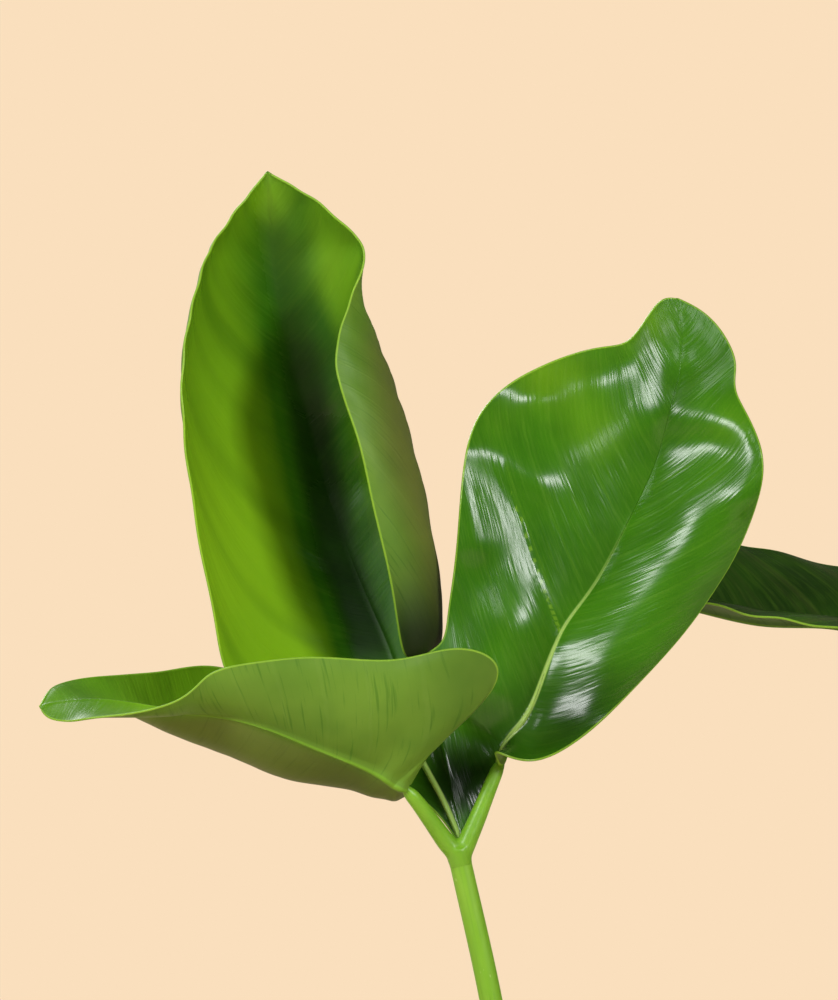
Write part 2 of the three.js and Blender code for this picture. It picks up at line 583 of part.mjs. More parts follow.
const SHEATH = { facing: 40, height: 62, radius: 6.2, wrap: 96 };
const sheathRibs = Array.from({ length: 6 }, (_, i) => {
  const t = i / 5;
  const centre = V(1.2 + 1.5 * t, 1.2 + 1.5 * t, STEM.top + 1.4 + SHEATH.height * t);
  const radius = SHEATH.radius + 2.4 * t;
  const wrap = Math.max(SHEATH.wrap * (1 - t ** 3), 3);
  const at = (turn) => centre.clone().addScaledVector(headingVector(SHEATH.facing + turn, 0), radius);
  const bow = radius * (1 - Math.cos(rad(wrap / 2)));
  return { rib: at(0), left: at(wrap), leftBow: bow, right: at(-wrap), rightBow: bow };
});
const sheath = gridFromRibs(sheathRibs, 2, bothHalves(PLAIN_ACROSS));
add('sheath', largestBody(blade([sheath], 0.4).subtract(crown)), matte('#b9b46a', 0.6));

// The soil fills the pot, domed a little, with a plain hole for everything that stands in it.
const SOIL_BOTTOM = POT.floor + GAP;
const soil = lathe([
  [0, SOIL_BOTTOM],
  [innerRadius(SOIL_BOTTOM) - GAP, SOIL_BOTTOM],
  [innerRadius(SOIL.top) - GAP, SOIL.top - 1],
  [innerRadius(SOIL.top) - 8, SOIL.top + 0.8],
  [25, SOIL.top + SOIL.crown * 0.8],
  [0, SOIL.top + SOIL.crown],
]);
add('soil', largestBody(soil.subtract(crown)), matte('#3a2a1e', 0.95));

export default part;
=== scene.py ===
# A young Philodendron goeldii in a clay pot. Sizes are in millimetres, and MM makes them metres.
import math

import bmesh
import bpy
import numpy as np
from mathutils import Euler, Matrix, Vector, noise


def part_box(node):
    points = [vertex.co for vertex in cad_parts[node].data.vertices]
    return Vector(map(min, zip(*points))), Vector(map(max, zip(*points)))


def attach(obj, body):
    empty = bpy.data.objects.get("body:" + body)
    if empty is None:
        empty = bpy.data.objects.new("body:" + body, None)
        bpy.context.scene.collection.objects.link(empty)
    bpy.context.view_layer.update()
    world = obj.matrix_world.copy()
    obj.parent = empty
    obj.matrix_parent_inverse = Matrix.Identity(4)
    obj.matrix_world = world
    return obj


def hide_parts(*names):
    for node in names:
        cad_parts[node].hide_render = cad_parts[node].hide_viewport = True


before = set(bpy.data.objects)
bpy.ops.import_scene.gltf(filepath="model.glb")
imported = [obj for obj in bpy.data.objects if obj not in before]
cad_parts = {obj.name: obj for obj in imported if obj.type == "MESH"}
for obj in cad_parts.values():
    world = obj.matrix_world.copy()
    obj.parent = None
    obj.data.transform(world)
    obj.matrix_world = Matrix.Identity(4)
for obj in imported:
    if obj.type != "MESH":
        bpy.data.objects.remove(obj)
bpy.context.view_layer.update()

# The pot is red clay, turned on a wheel and fired without a glaze. A thicker band runs round its rim, and
# three holes in its floor let water out. It carries everything else.

MM = 0.001


def colour(code):
    """The linear colour of a hexadecimal code."""
    shares = [int(code[i:i + 2], 16) / 255 for i in (1, 3, 5)]
    return (*(s / 12.92 if s < 0.04045 else ((s + 0.055) / 1.055) ** 2.4 for s in shares), 1.0)


class Wire:
    """An output of a finish's nodes. Arithmetic on it adds Math nodes."""

    def __init__(self, finish, socket):
        self.finish = finish
        self.socket = socket

    def math(self, operation, first, second=0.0):
        return self.finish.node("Math", {"operation": operation}, {0: first, 1: second})

    def __add__(self, other):
        return self.math("ADD", self, other)

    def __sub__(self, other):
        return self.math("SUBTRACT", self, other)

    def __rsub__(self, other):
        return self.math("SUBTRACT", other, self)

    def __mul__(self, other):
        return self.math("MULTIPLY", self, other)

    __radd__ = __add__
    __rmul__ = __mul__

    def sine(self):
        return self.math("SINE", self)

    def rise(self, low, high):
        """0 up to low and 1 from high on, with a smooth rise between them."""
        settings = {"interpolation_type": "SMOOTHSTEP"}
        return self.finish.node("MapRange", settings, {"Value": self, "From Min": low, "From Max": high})

    def fall(self, low, high):
        return 1 - self.rise(low, high)


class Finish:
    """A material, or another owner of nodes, whose nodes are added one by one."""

    def __init__(self, name, owners=bpy.data.materials):
        self.owner = owners.new(name)
        self.owner.use_nodes = True
        self.tree = self.owner.node_tree
        self.tree.nodes.clear()

    def node(self, kind, settings=None, inputs=None, output=0):
        """Adds a node. Its inputs are numbers, colours, codes of colours, or the outputs of other nodes."""
        made = self.tree.nodes.new("ShaderNode" + kind)
        for name, value in (settings or {}).items():
            setattr(made, name, value)
        for key, value in (inputs or {}).items():
            if isinstance(value, Wire):
                self.tree.links.new(value.socket, made.inputs[key])
            else:
                made.inputs[key].default_value = colour(value) if isinstance(value, str) else value
        return Wire(self, made.outputs[output]) if made.outputs else None

    def place(self):
        """Where a point of the surface is, in millimetres."""
        metres = self.node("TexCoord", output="Object")
        return self.node("VectorMath", {"operation": "SCALE"}, {0: metres, "Scale": 1 / MM})

    def kept(self, name):
        """The three numbers that the mesh keeps under a name."""
        return self.parts(self.node("Attribute", {"attribute_name": name}, output="Vector"))

    def parts(self, vector):
        return [self.node("SeparateXYZ", inputs={0: vector}, output=axis) for axis in range(3)]

    def joined(self, x, y, z):
        return self.node("CombineXYZ", inputs={0: x, 1: y, 2: z})

    def grain(self, place, size, detail=3.0, roughness=0.55):
        """Noise from 0 to 1 whose spots are about that size."""
        return self.node("TexNoise", inputs={
            "Vector": place, "Scale": 1 / size, "Detail": detail, "Roughness": roughness})

    def cells(self, place, size):
        """The distance from the middle of the nearest of many cells, as a share of their size."""
        return self.node("TexVoronoi", inputs={"Vector": place, "Scale": 1 / size})

    def mix(self, share, first, second):
        """A colour from first to second."""
        return self.node("Mix", {"data_type": "RGBA"}, {0: share, 6: first, 7: second}, output=2)

    def bump(self, height):
        """The normal of a surface that stands out by that height in millimetres."""
        return self.node("Bump", inputs={"Strength": 1.0, "Distance": MM, "Height": height}, output="Normal")

    def surface(self, sockets):
        shader = self.node("BsdfPrincipled", inputs=sockets)
        self.node("OutputMaterial", inputs={"Surface": shader})
        return self.owner


def sap(weight, reach, depth):
    """Light that spreads under a skin: how much, how its red, green and blue reach, and how deep they go."""
    return {"Subsurface Weight": weight, "Subsurface Radius": reach, "Subsurface Scale": depth * MM}


def piece(name, points, faces, finishes, slot, replaces=(), worn=None, kept=None):
    """A smooth piece that rides on the plant's one body. worn is the finish of each face, and kept holds
    three numbers for each point under a name, for the finishes to read."""
    mesh = bpy.data.meshes.new(name)
    mesh.from_pydata((np.asarray(points) * MM).tolist(), [], [[int(i) for i in face] for face in faces])
    mesh.polygons.foreach_set("use_smooth", np.ones(len(mesh.polygons), bool))
    if worn is not None:
        mesh.polygons.foreach_set("material_index", np.asarray(worn, np.int32))
    for title, values in (kept or {}).items():
        layer = mesh.attributes.new(title, "FLOAT_VECTOR", "POINT")
        layer.data.foreach_set("vector", np.asarray(values, np.float32).ravel())
    for finish in finishes:
        mesh.materials.append(finish)
    mesh.update()
    thing = bpy.data.objects.new(name, mesh)
    bpy.context.scene.collection.objects.link(thing)
    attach(thing, "root")
    if replaces:
        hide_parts(*replaces)
    return thing


def unit(ways):
    """A direction, or rows of them, at length 1."""
    return ways / np.maximum(np.linalg.norm(ways, axis=-1, keepdims=True), 1e-9)


def soften(corners, step=1.6):
    """A profile with its corners (radius, height, cut) rounded off from `cut` before to `cut` after them."""
    places = np.array([c[:2] for c in corners], float)
    profile = [places[0]]
    for i in range(1, len(corners) - 1):
        corner, cut = places[i], corners[i][2]
        ways = [places[k] - corner for k in (i - 1, i + 1)]
        ends = [corner + unit(way) * cut for way in ways]
        for t in np.linspace(0, 1, 6):
            profile.append((1 - t) ** 2 * ends[0] + 2 * t * (1 - t) * corner + t ** 2 * ends[1])
    profile.append(places[-1])
    fine = [profile[0]]
    for before, after in zip(profile, profile[1:]):
        parts = max(1, round(np.linalg.norm(after - before) / step))
        fine += [before + (after - before) * (k + 1) / parts for k in range(parts)]
    return np.array(fine)


def ring_faces(rings, sides):
    """The faces of rings of points, one after another, closed by a point before the first and one after the
    last. Those two come after all the rings."""
    faces = []
    for i in range(rings - 1):
        for j in range(sides):
            a, b = i * sides + j, i * sides + (j + 1) % sides
            faces.append([a, b, b + sides, a + sides])
    bottom, top, last = rings * sides, rings * sides + 1, (rings - 1) * sides
    for j in range(sides):
        faces.append([bottom, (j + 1) % sides, j])
        faces.append([top, last + j, last + (j + 1) % sides])
    return faces


def turned(profile, sides):
    """Points and faces of a closed turned body, from a profile that starts and ends on the axis."""
    around = np.linspace(0, 2 * np.pi, sides, endpoint=False)
    rings = profile[1:-1]
    points = np.array([[r * np.cos(a), r * np.sin(a), z] for r, z in rings for a in around])
    ends = [[0, 0, profile[0][1]], [0, 0, profile[-1][1]]]
    return np.vstack([points, ends]), ring_faces(len(rings), sides)


def hills(points, size, depth):
    """Smooth noise from about -depth to depth, in hills of that size."""
    return depth * np.array([noise.fractal(Vector(p) / size, 1.0, 2.0, 3) for p in points])


_, pot_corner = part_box("pot")
POT_HEIGHT, RIM_RADIUS = pot_corner.z / MM, pot_corner.x / MM
FOOT_RADIUS, WALL, FLOOR = 43, 4.5, 6
BAND_HEIGHT, BAND_PROUD = 24, 3.5
DRAIN_RADIUS, DRAIN_AT = 5, 22
TURNING_MARK = 0.09
DRAINS = 3


def wall_radius(z):
    return FOOT_RADIUS + (RIM_RADIUS - BAND_PROUD - FOOT_RADIUS) * z / POT_HEIGHT


def inner_radius(z):
    return wall_radius(z) - WALL


band_bottom = POT_HEIGHT - BAND_HEIGHT
pot_profile = soften([
    (0, 0, 0),
    (FOOT_RADIUS, 0, 1.6),
    (wall_radius(band_bottom), band_bottom, 0.6),
    (wall_radius(band_bottom) + BAND_PROUD, band_bottom + 0.8, 1.8),
    (RIM_RADIUS, POT_HEIGHT, 2.0),
    (inner_radius(POT_HEIGHT), POT_HEIGHT, 1.8),
    (inner_radius(FLOOR), FLOOR, 2.5),
    (0, FLOOR, 0),
])
pot_points, pot_faces = turned(pot_profile, 160)
reach = np.hypot(pot_points[:, 0], pot_points[:, 1])
marks = np.sin(pot_points[:, 2] * 1.7 + 2.0 * np.sin(pot_points[:, 2] * 0.23)) * TURNING_MARK
marks += hills(pot_points * [0.3, 0.3, 1], 9, 0.12)
marks *= np.clip((reach - inner_radius(FLOOR) + 1) / 3, 0, 1) * np.clip(pot_points[:, 2] / 3, 0, 1)
pot_points[:, :2] *= (1 + (marks - 0.15) / np.maximum(reach, 1))[:, None]

clay = Finish("fired_clay")
clay_place = clay.place()
clay_height = clay.parts(clay_place)[2]
mottle = clay.grain(clay_place, 26, detail=5.0)
speckle = clay.grain(clay_place, 1.3, detail=2.0)
sand = clay.cells(clay_place, 1.1)
red_clay = clay.mix(mottle.rise(0.36, 0.66), "#a5522f", "#c27650")
red_clay = clay.mix(speckle.rise(0.56, 0.7) * 0.35, red_clay, "#7d3a20")
red_clay = clay.mix(sand.fall(0.06, 0.2) * 0.45, red_clay, "#d9a27e")
# Salts from the water dry out as a pale bloom near the foot, and the clay is darkest where it stays wet.
salt = clay.grain(clay_place, 13, detail=6.0, roughness=0.65)
bloom = salt.rise(0.5, 0.72) * clay_height.fall(12, 70) * 0.55
under_band = clay_height.rise(70, 92) * clay_height.fall(93, 95)
damp = clay.grain(clay_place, 30).rise(0.42, 0.62) * under_band * 0.3
red_clay = clay.mix(bloom, red_clay, "#d8c0ac")
red_clay = clay.mix(damp, red_clay, "#7a3c25")
turning = (clay_height * 3.1 + mottle * 4).sine() * 0.02
clay_skin = clay.bump(turning + clay.grain(clay_place, 0.8, detail=4.0) * 0.16 - sand.fall(0.05, 0.25) * 0.05)
fired_clay = clay.surface({
    "Base Color": red_clay,
    "Roughness": 0.82 + mottle * 0.12,
    "Specular IOR Level": 0.35,
    "Normal": clay_skin,
})

pot = piece("clay_pot", pot_points, pot_faces, [fired_clay], "terracotta", ["pot"])
for drain in range(DRAINS):
    turn = 2 * math.pi * drain / DRAINS
    bpy.ops.mesh.primitive_cylinder_add(
        vertices=48, radius=DRAIN_RADIUS * MM, depth=FLOOR * 4 * MM,
        location=(DRAIN_AT * math.cos(turn) * MM, DRAIN_AT * math.sin(turn) * MM, 0))
    punch = bpy.context.object
    hole = pot.modifiers.new("drain", "BOOLEAN")
    hole.operation = "DIFFERENCE"
    hole.solver = "EXACT"
    hole.object = punch
    cut = bpy.data.meshes.new_from_object(pot.evaluated_get(bpy.context.evaluated_depsgraph_get()))
    pot.modifiers.clear()
    pot.data = cut
    bpy.data.objects.remove(punch)

# The potting mix is bark, peat and perlite, pressed in by hand and watered level. Its crumbs lie loose on
# top, and the plant's roots hold it together below.

SOIL_TOP, SOIL_CROWN, SOIL_GAP = 101, 3, 0.3
soil_radius = inner_radius(SOIL_TOP) - SOIL_GAP
SOIL_PROFILE = [
    [0, FLOOR + SOIL_GAP],
    [inner_radius(FLOOR) - SOIL_GAP - 1.5, FLOOR + SOIL_GAP],
    [soil_radius, SOIL_TOP - 1],
    [soil_radius - 7.7, SOIL_TOP + 0.8],
    [25, SOIL_TOP + SOIL_CROWN * 0.8],
    [0, SOIL_TOP + SOIL_CROWN],
]


def ground(radius):
    """The height of the potting mix at that distance from the middle."""
    return np.interp(radius, [r for r, _ in SOIL_PROFILE[:1:-1]], [z for _, z in SOIL_PROFILE[:1:-1]])


top_rings = np.linspace(soil_radius, 0.6, 46)
soil_top = np.column_stack([top_rings, ground(top_rings)])
soil_profile = np.vstack([SOIL_PROFILE[:2], soil_top, SOIL_PROFILE[-1:]])
soil_points, soil_faces = turned(soil_profile, 128)
on_top = soil_points[:, 2] > SOIL_TOP - 2
lumps = hills(soil_points[on_top], 7, 0.9) + hills(soil_points[on_top], 1.8, 0.45)
edge_hold = np.clip((soil_radius - np.hypot(*soil_points[on_top, :2].T)) / 4, 0.15, 1)
soil_points[on_top, 2] += (lumps - 0.5) * edge_hold

mix = Finish("potting_mix")
mix_place = mix.place()
lump = mix.grain(mix_place, 3.2, detail=6.0, roughness=0.7)
fleck = mix.cells(mix_place, 1.5)
mix_colour = mix.mix(lump.rise(0.35, 0.65), "#1d130c", "#4a3424")
mix_colour = mix.mix(fleck.fall(0.08, 0.2) * 0.5, mix_colour, "#7d6247")
potting_mix = mix.surface({
    "Base Color": mix_colour,
    "Roughness": 0.95 - lump * 0.2,
    "Specular IOR Level": 0.3,
    "Normal": mix.bump(lump * 1.1 + mix.grain(mix_place, 0.6) * 0.4),
})
piece("soil_bed", soil_points, soil_faces, [potting_mix], "potting_mix", ["soil"])


def stacked(bodies):
    """One set of points and faces from those of several bodies."""
    points, faces = [], []
    for body_points, body_faces in bodies:
        start = sum(len(p) for p in points)
        faces += [[i + start for i in face] for face in body_faces]
        points.append(body_points)
    return np.vstack(points), faces


# How uneven the loose bits are, as a share of their size, how far they tilt (in radians), and how far below
# the level of the mix they lie.
BITS_UNEVEN, BITS_TILT, BITS_SUNK = 0.28, 0.22, 0.4


def crumbs(seed, count, sizes, squash, sink, roundness, inner=9.0):
    """Points and faces of many loose bits on the potting mix. squash is how flat and narrow they are."""
    draw = np.random.default_rng(seed)
    ball = bmesh.new()
    bmesh.ops.create_icosphere(ball, subdivisions=roundness, radius=1.0)
    shape = np.array([v.co[:] for v in ball.verts])
    patch = [[v.index for v in f.verts] for f in ball.faces]
    ball.free()
    bodies = []
    for _ in range(count):
        size = draw.uniform(*sizes)
        radius = math.sqrt(draw.uniform(inner ** 2, (soil_radius - size - 0.4) ** 2))
        angle = draw.uniform(0, 2 * math.pi)
        body = shape * (1 + BITS_UNEVEN * draw.normal(size=(len(shape), 1)).clip(-1.3, 1.3)) * squash
        lean = draw.normal(0, BITS_TILT)
        spin = draw.uniform(0, 2 * math.pi)
        turn = np.array(Euler((lean, 0, spin)).to_matrix())
        height = ground(radius) - BITS_SUNK + size * squash[2] * sink
        seat = [radius * math.cos(angle), radius * math.sin(angle), height]
        bodies.append((body * size @ turn.T + seat, patch))
    return stacked(bodies)


bark = Finish("bark_chips")
bark_place = bark.place()
fibre = bark.grain(bark_place, 1.4, detail=5.0)
bark_chip = bark.surface({
    "Base Color": bark.mix(fibre.rise(0.35, 0.66), "#2c1a10", "#75502f"),
    "Roughness": 0.88 - fibre * 0.15,
    "Normal": bark.bump(fibre * 0.5),
})
piece("bark_chips", *crumbs(11, 260, (1.4, 3.6), (1, 0.62, 0.3), 0.55, 2), [bark_chip], "potting_mix")

peat = Finish("peat_crumbs")
peat_grain = peat.grain(peat.place(), 0.9, detail=4.0)
peat_crumb = peat.surface({
    "Base Color": peat.mix(peat_grain.rise(0.35, 0.65), "#150d08", "#3b291c"),
    "Roughness": 0.97 - peat_grain * 0.1,
    "Normal": peat.bump(peat_grain * 0.4),
})
piece("peat_crumbs", *crumbs(12, 1500, (0.4, 1.1), (1, 0.8, 0.7), 0.5, 1, 7.0), [peat_crumb], "potting_mix")

perlite = Finish("perlite_grains")
perlite_place = perlite.place()
froth = perlite.cells(perlite_place, 0.5)
perlite_grain = perlite.surface({
    "Base Color": perlite.mix(froth.rise(0.1, 0.6), "#b9b3a6", "#f0eee8"),
    "Roughness": 0.9 - froth * 0.1,
    "Normal": perlite.bump(froth * 0.25),
})
piece("perlite_grains", *crumbs(13, 70, (0.8, 1.9), (1, 0.9, 0.75), 0.45, 2), [perlite_grain], "potting_mix")

# The stem is short and soft, green where it is young. Each fallen leaf has left a pale ring on it, and the
# stalks of the living leaves clasp its top.

STEM_RADIUS, STEM_TOP, STEM_BOTTOM = 9, 121, 78
stem_profile = soften([
    (0, STEM_BOTTOM, 0),
    (STEM_RADIUS - 1, STEM_BOTTOM, 1),
    (STEM_RADIUS, SOIL_TOP, 2),
    (STEM_RADIUS + 0.7, SOIL_TOP + 5, 1.2),
    (STEM_RADIUS - 0.5, SOIL_TOP + 7, 0.8),
    (STEM_RADIUS + 0.1, SOIL_TOP + 12, 1.2),
    (STEM_RADIUS - 1.6, STEM_TOP - 3, 1.5),
    (STEM_RADIUS - 4.5, STEM_TOP, 1),
    (0, STEM_TOP + 0.6, 0),
], step=0.7)
stem_points, stem_faces = turned(stem_profile, 72)
stem_points[:, :2] *= (1 + hills(stem_points, 6, 0.035))[:, None]

bark_skin = Finish("stem_skin")
stem_place = bark_skin.place()
stem_height = bark_skin.parts(stem_place)[2]
ring = (stem_height * (2 * math.pi / 5.5) + bark_skin.grain(stem_place, 8) * 2).sine().rise(0.75, 1.0)
crack = bark_skin.grain(stem_place, 2.0, detail=5.0)
stem_colour = bark_skin.mix(stem_height.rise(104, 116), "#6b5a34", "#6f8236")
stem_colour = bark_skin.mix(ring * 0.6, stem_colour, "#b5a877")
stem_colour = bark_skin.mix(crack.rise(0.55, 0.72) * 0.6, stem_colour, "#4a3a20")
stem_skin = bark_skin.surface({
    "Base Color": stem_colour,
    "Roughness": 0.6 + crack * 0.25,
    "Normal": bark_skin.bump(ring * 0.3 + crack * 0.35),
})
piece("stem_body", stem_points, stem_faces, [stem_skin], "stem_bark", ["stem"])

# A leaf's stalk is round, firm and full of sap, swollen at its foot where it clasps the stem. Its skin is
# smooth and waxy, with fine lines along it. It runs up into the knuckle under the blade.

FOOT_STALK_RADIUS, FOOT_SWELL, FOOT_SWELL_LENGTH = 3, 2.6, 12


def path_through(points, count):
    """Evenly spaced points on a smooth curve through those given."""
    points = np.asarray(points, float)
    ends = np.vstack([2 * points[0] - points[1], points, 2 * points[-1] - points[-2]])
    dense = []
    for p0, p1, p2, p3 in zip(ends, ends[1:], ends[2:], ends[3:]):
        d0, d1, d2 = (max(np.linalg.norm(b - a), 1e-6) ** 0.5 for a, b in ((p0, p1), (p1, p2), (p2, p3)))
        leave = ((p1 - p0) / d0 - (p2 - p0) / (d0 + d1) + (p2 - p1) / d1) * d1
        arrive = ((p2 - p1) / d1 - (p3 - p1) / (d1 + d2) + (p3 - p2) / d2) * d1
        t = np.linspace(0, 1, 60)[:-1, None]
        dense.append(p1 + leave * t + (3 * (p2 - p1) - 2 * leave - arrive) * t ** 2
                     + (2 * (p1 - p2) + leave + arrive) * t ** 3)
    dense = np.vstack([*dense, points[-1]])
    run = np.r_[0, np.cumsum(np.linalg.norm(np.diff(dense, axis=0), axis=1))]
    even = np.linspace(0, run[-1], count)
    return np.column_stack([np.interp(even, run, dense[:, axis]) for axis in range(3)]), even


def tube(path, radius_at, count, sides=28):
    """Points, faces and grain of a round bar along a curve. radius_at(distance, length) is its radius."""
    centres, run = path_through(path, count)
    radii = np.array([radius_at(d, run[-1]) for d in run])
    ahead = unit(np.gradient(centres, axis=0))
    side = np.cross(ahead[0], [0.31, 0.95, 0.02])
    around = np.linspace(0, 2 * np.pi, sides, endpoint=False)
    circle = np.column_stack([np.cos(around), np.sin(around)])
    points, kept = [], []
    for centre, forward, radius, distance in zip(centres, ahead, radii, run):
        side = unit(side - forward * (side @ forward))
        points.append(centre + radius * circle @ [side, np.cross(forward, side)])
        kept.append(np.column_stack([radius * circle, np.full(sides, distance)]))
    points = np.vstack([*points, centres[0], centres[-1]])
    return points, ring_faces(count, sides), np.vstack([*kept, [0, 0, run[0]], [0, 0, run[-1]]])


def stalk_finish(name, tone, foot_tone):
    """The waxy skin of a stalk, in its own green, and paler at its foot."""
    skin = Finish(name)
    across, over, along = skin.kept("grain")
    drawn_out = skin.joined(across, over, along * 0.04)
    line = skin.grain(drawn_out, 0.5, detail=3.0)
    shade = skin.grain(skin.joined(across, over, along * 0.3), 9, detail=3.0)
    dash = skin.cells(skin.joined(across, over, along * 0.35), 1.3)
    tint = skin.mix(along.fall(2, 55), tone, foot_tone)
    tint = skin.mix(line.rise(0.45, 0.75) * 0.3, tint, "#5f9322")
    tint = skin.mix(shade.rise(0.45, 0.7) * 0.35, tint, "#a4cf4c")
    tint = skin.mix(dash.fall(0.05, 0.13) * 0.35, tint, "#cfe08f")
    return skin.surface({
        "Base Color": tint,
        "Roughness": 0.34 + line * 0.14,
        "Specular IOR Level": 0.45,
        **sap(0.3, (0.9, 1.4, 0.3), 1.2),
        "Normal": skin.bump(line * 0.05 + shade * 0.12 - dash.fall(0.05, 0.16) * 0.02),
    })


def stalk_radius(top):
    def radius(distance, length):
        taper = FOOT_STALK_RADIUS + (top - FOOT_STALK_RADIUS) * distance / length
        return taper + FOOT_SWELL * math.exp(-distance / FOOT_SWELL_LENGTH)
    return radius


young_stalk = stalk_finish("young_stalk", "#7fb52a", "#93b74a")
older_stalk = stalk_finish("older_stalk", "#6f9f30", "#8fa653")

FORK = np.array([-39.0, -15.0, 330.0])
EYE_ACROSS, EYE_UP, EYE_DISTANCE = -9.3, 75, 1200


def from_front(view):
    """Points given as they look from the front: across and up from the tall leaf's fork, and how far
    behind it."""
    across, up, behind = np.moveaxis(np.asarray(view, float), -1, 0)
    spread = 1 + behind / EYE_DISTANCE
    return np.stack([
        FORK[0] + EYE_ACROSS + (across - EYE_ACROSS) * spread,
        FORK[1] + behind,
        FORK[2] + EYE_UP + (up - EYE_UP) * spread,
    ], axis=-1)


STALKS = {
    # the points of each stalk from its foot to its fork, and its radius there
    "leaf1": ([(-2.5, -1.5, 117), (-6, -3.5, 128), (-19, -9, 200), (-31.5, -14, 290),
               from_front([-0.8, -1.4, 0])], 2.4),
    "leaf2": ([(3, 1, 114), (12, 4, 130), (62, 18, 240), (96, 25, 320), (110, 26, 353)], 2.1),
    "leaf3": ([(-2, 1, 111), (-12, 6, 121), (-48, 24, 178), (-84, 44, 234)], 2.1),
    "leaf4": ([(2, -2, 109), (12, -9, 118), (44, -34, 170), (80, -64, 224)], 2.1),
    "leaf5": ([(-1, -3, 107), (-5, -15, 116), (-17, -48, 150), (-34, -86, 178)], 2.1),
}
for leaf, (way, top_radius) in STALKS.items():
    stalk_points, stalk_faces, stalk_grain = tube(way, stalk_radius(top_radius), count=220)
    skin = young_stalk if leaf == "leaf1" else older_stalk
    piece(f"{leaf}_stalk_skin", stalk_points, stalk_faces, [skin], "leaf_stalk", [f"{leaf}_stalk"],
          kept={"grain": stalk_grain})

# A blade is a thin, firm sheet, glossy above and satin below. It grew in one piece with the arms that spread
# from the knuckle. Each arm runs on as a leaflet's midrib, and fine side veins leave it for the pale margin.

# Half the blade's thickness at its middle and at its margin, and how far the rounded margin stands out.
THICK_MIDDLE, THICK_MARGIN, RIM = 0.4, 0.24, 0.22
# The midrib lies in a shallow groove of the glossy face, with a fine cord along its bottom.
GROOVE_DEPTH, GROOVE_WIDTH, CORD_HEIGHT, CORD_WIDTH = 0.28, 1.5, 0.34, 0.42
# The main side veins are that far apart.
VEIN_SPACING = 8.5
# How fine the joined surface of the arms is, and how often its corners are smoothed.
MELT_VOXEL, MELT_ROUNDS = 0.32, 10


def smooth_through(values, places):
    """Natural cubic splines through evenly spaced rows of values, read at places from 0 to the last row."""
    values = np.asarray(values, float)
    last = len(values) - 1
    system = 4 * np.eye(last - 1) + np.eye(last - 1, k=1) + np.eye(last - 1, k=-1)
    second = 6 * (values[2:] - 2 * values[1:-1] + values[:-2])
    bend = np.zeros_like(values)
    bend[1:-1] = np.linalg.solve(system, second.reshape(last - 1, -1)).reshape(second.shape)
    i = np.minimum(places.astype(int), last - 1)
    b = (places - i).reshape(-1, *[1] * (values.ndim - 1))
    a = 1 - b
    return a * values[i] + b * values[i + 1] + ((a ** 3 - a) * bend[i] + (b ** 3 - b) * bend[i + 1]) / 6


def arc(start, end, out, bow, shares):
    """Points on the arc from start to end, whose middle is bowed out by `bow`."""
    chord = end - start
    length = np.linalg.norm(chord)
    shares = shares[:, None]
    if length < 1e-3 or abs(bow) < 0.01:
        return start + chord * shares
    half_turn = 2 * math.atan(2 * bow / length)
    radius = length / 2 / math.sin(half_turn)
    turn = half_turn * (2 * shares - 1)
    return (start + end) / 2 + chord / length * radius * np.sin(turn) \
        + out * radius * (np.cos(turn) - math.cos(half_turn))


def sheet(ribs, rows_each, columns):
    """A blade's middle surface as rows of points, from its ribs. Each rib is the midrib's point, the left
    margin's and its bow, and the right margin's and its bow."""
    shares = (1 - np.cos(np.pi * np.linspace(0, 1, columns))) / 2
    rows = []
    for i, (middle, left, left_bow, right, right_bow) in enumerate(ribs):
        along = ribs[min(i + 1, len(ribs) - 1)][0] - ribs[max(i - 1, 0)][0]
        halves = []
        for margin, bow, hand in ((left, left_bow, 1), (right, right_bow, -1)):
            out = np.cross(margin - middle, along) * hand
            halves.append(arc(middle, margin, unit(out), bow, shares))
        rows.append(np.vstack([halves[0][:0:-1], halves[1]]))
    last = len(ribs) - 1
    return smooth_through(rows, np.linspace(0, last, last * rows_each + 1))


def measures(grid, lean):
    """For each point: where the side vein through it leaves the midrib, and how far off the midrib and the
    margin are. The veins lean towards the tip."""
    middle = grid.shape[1] // 2
    run = np.r_[0, np.cumsum(np.linalg.norm(np.diff(grid[:, middle], axis=0), axis=1))][:, None]
    steps = np.linalg.norm(np.diff(grid, axis=1), axis=2)
    left = np.cumsum(steps[:, middle - 1::-1], axis=1)[:, ::-1]
    right = np.cumsum(steps[:, middle:], axis=1)
    rib = np.hstack([left, np.zeros((len(grid), 1)), right])
    half = np.hstack([np.repeat(left[:, :1], middle + 1, 1), np.repeat(right[:, -1:], middle, 1)])
    vein = run - lean * (0.55 * rib + 0.35 * rib ** 2 / np.maximum(half, 1))
    return vein, rib, half - rib


def step_up(value, low, high):
    t = np.clip((value - low) / (high - low), 0, 1)
    return t * t * (3 - 2 * t)


def quilting(vein, rib, edge, depth=0.12, spacing=VEIN_SPACING, wave=0.35):
    """The soft swell of the blade between its main side veins, and the finer waves of its margin."""
    swell = depth * np.cos(2 * np.pi * vein / spacing) * step_up(rib, 1.5, 8) * step_up(edge, 0, 7)
    return swell + wave * np.sin(2 * np.pi * vein / 16) * (1 - step_up(edge, 0, 8)) * step_up(rib, 3, 9)


def join(bodies):
    """One set of points, faces, finishes and vein numbers from several."""
    points, faces, worn, veins = zip(*bodies)
    return *stacked(zip(points, faces)), np.concatenate(worn), np.vstack(veins)


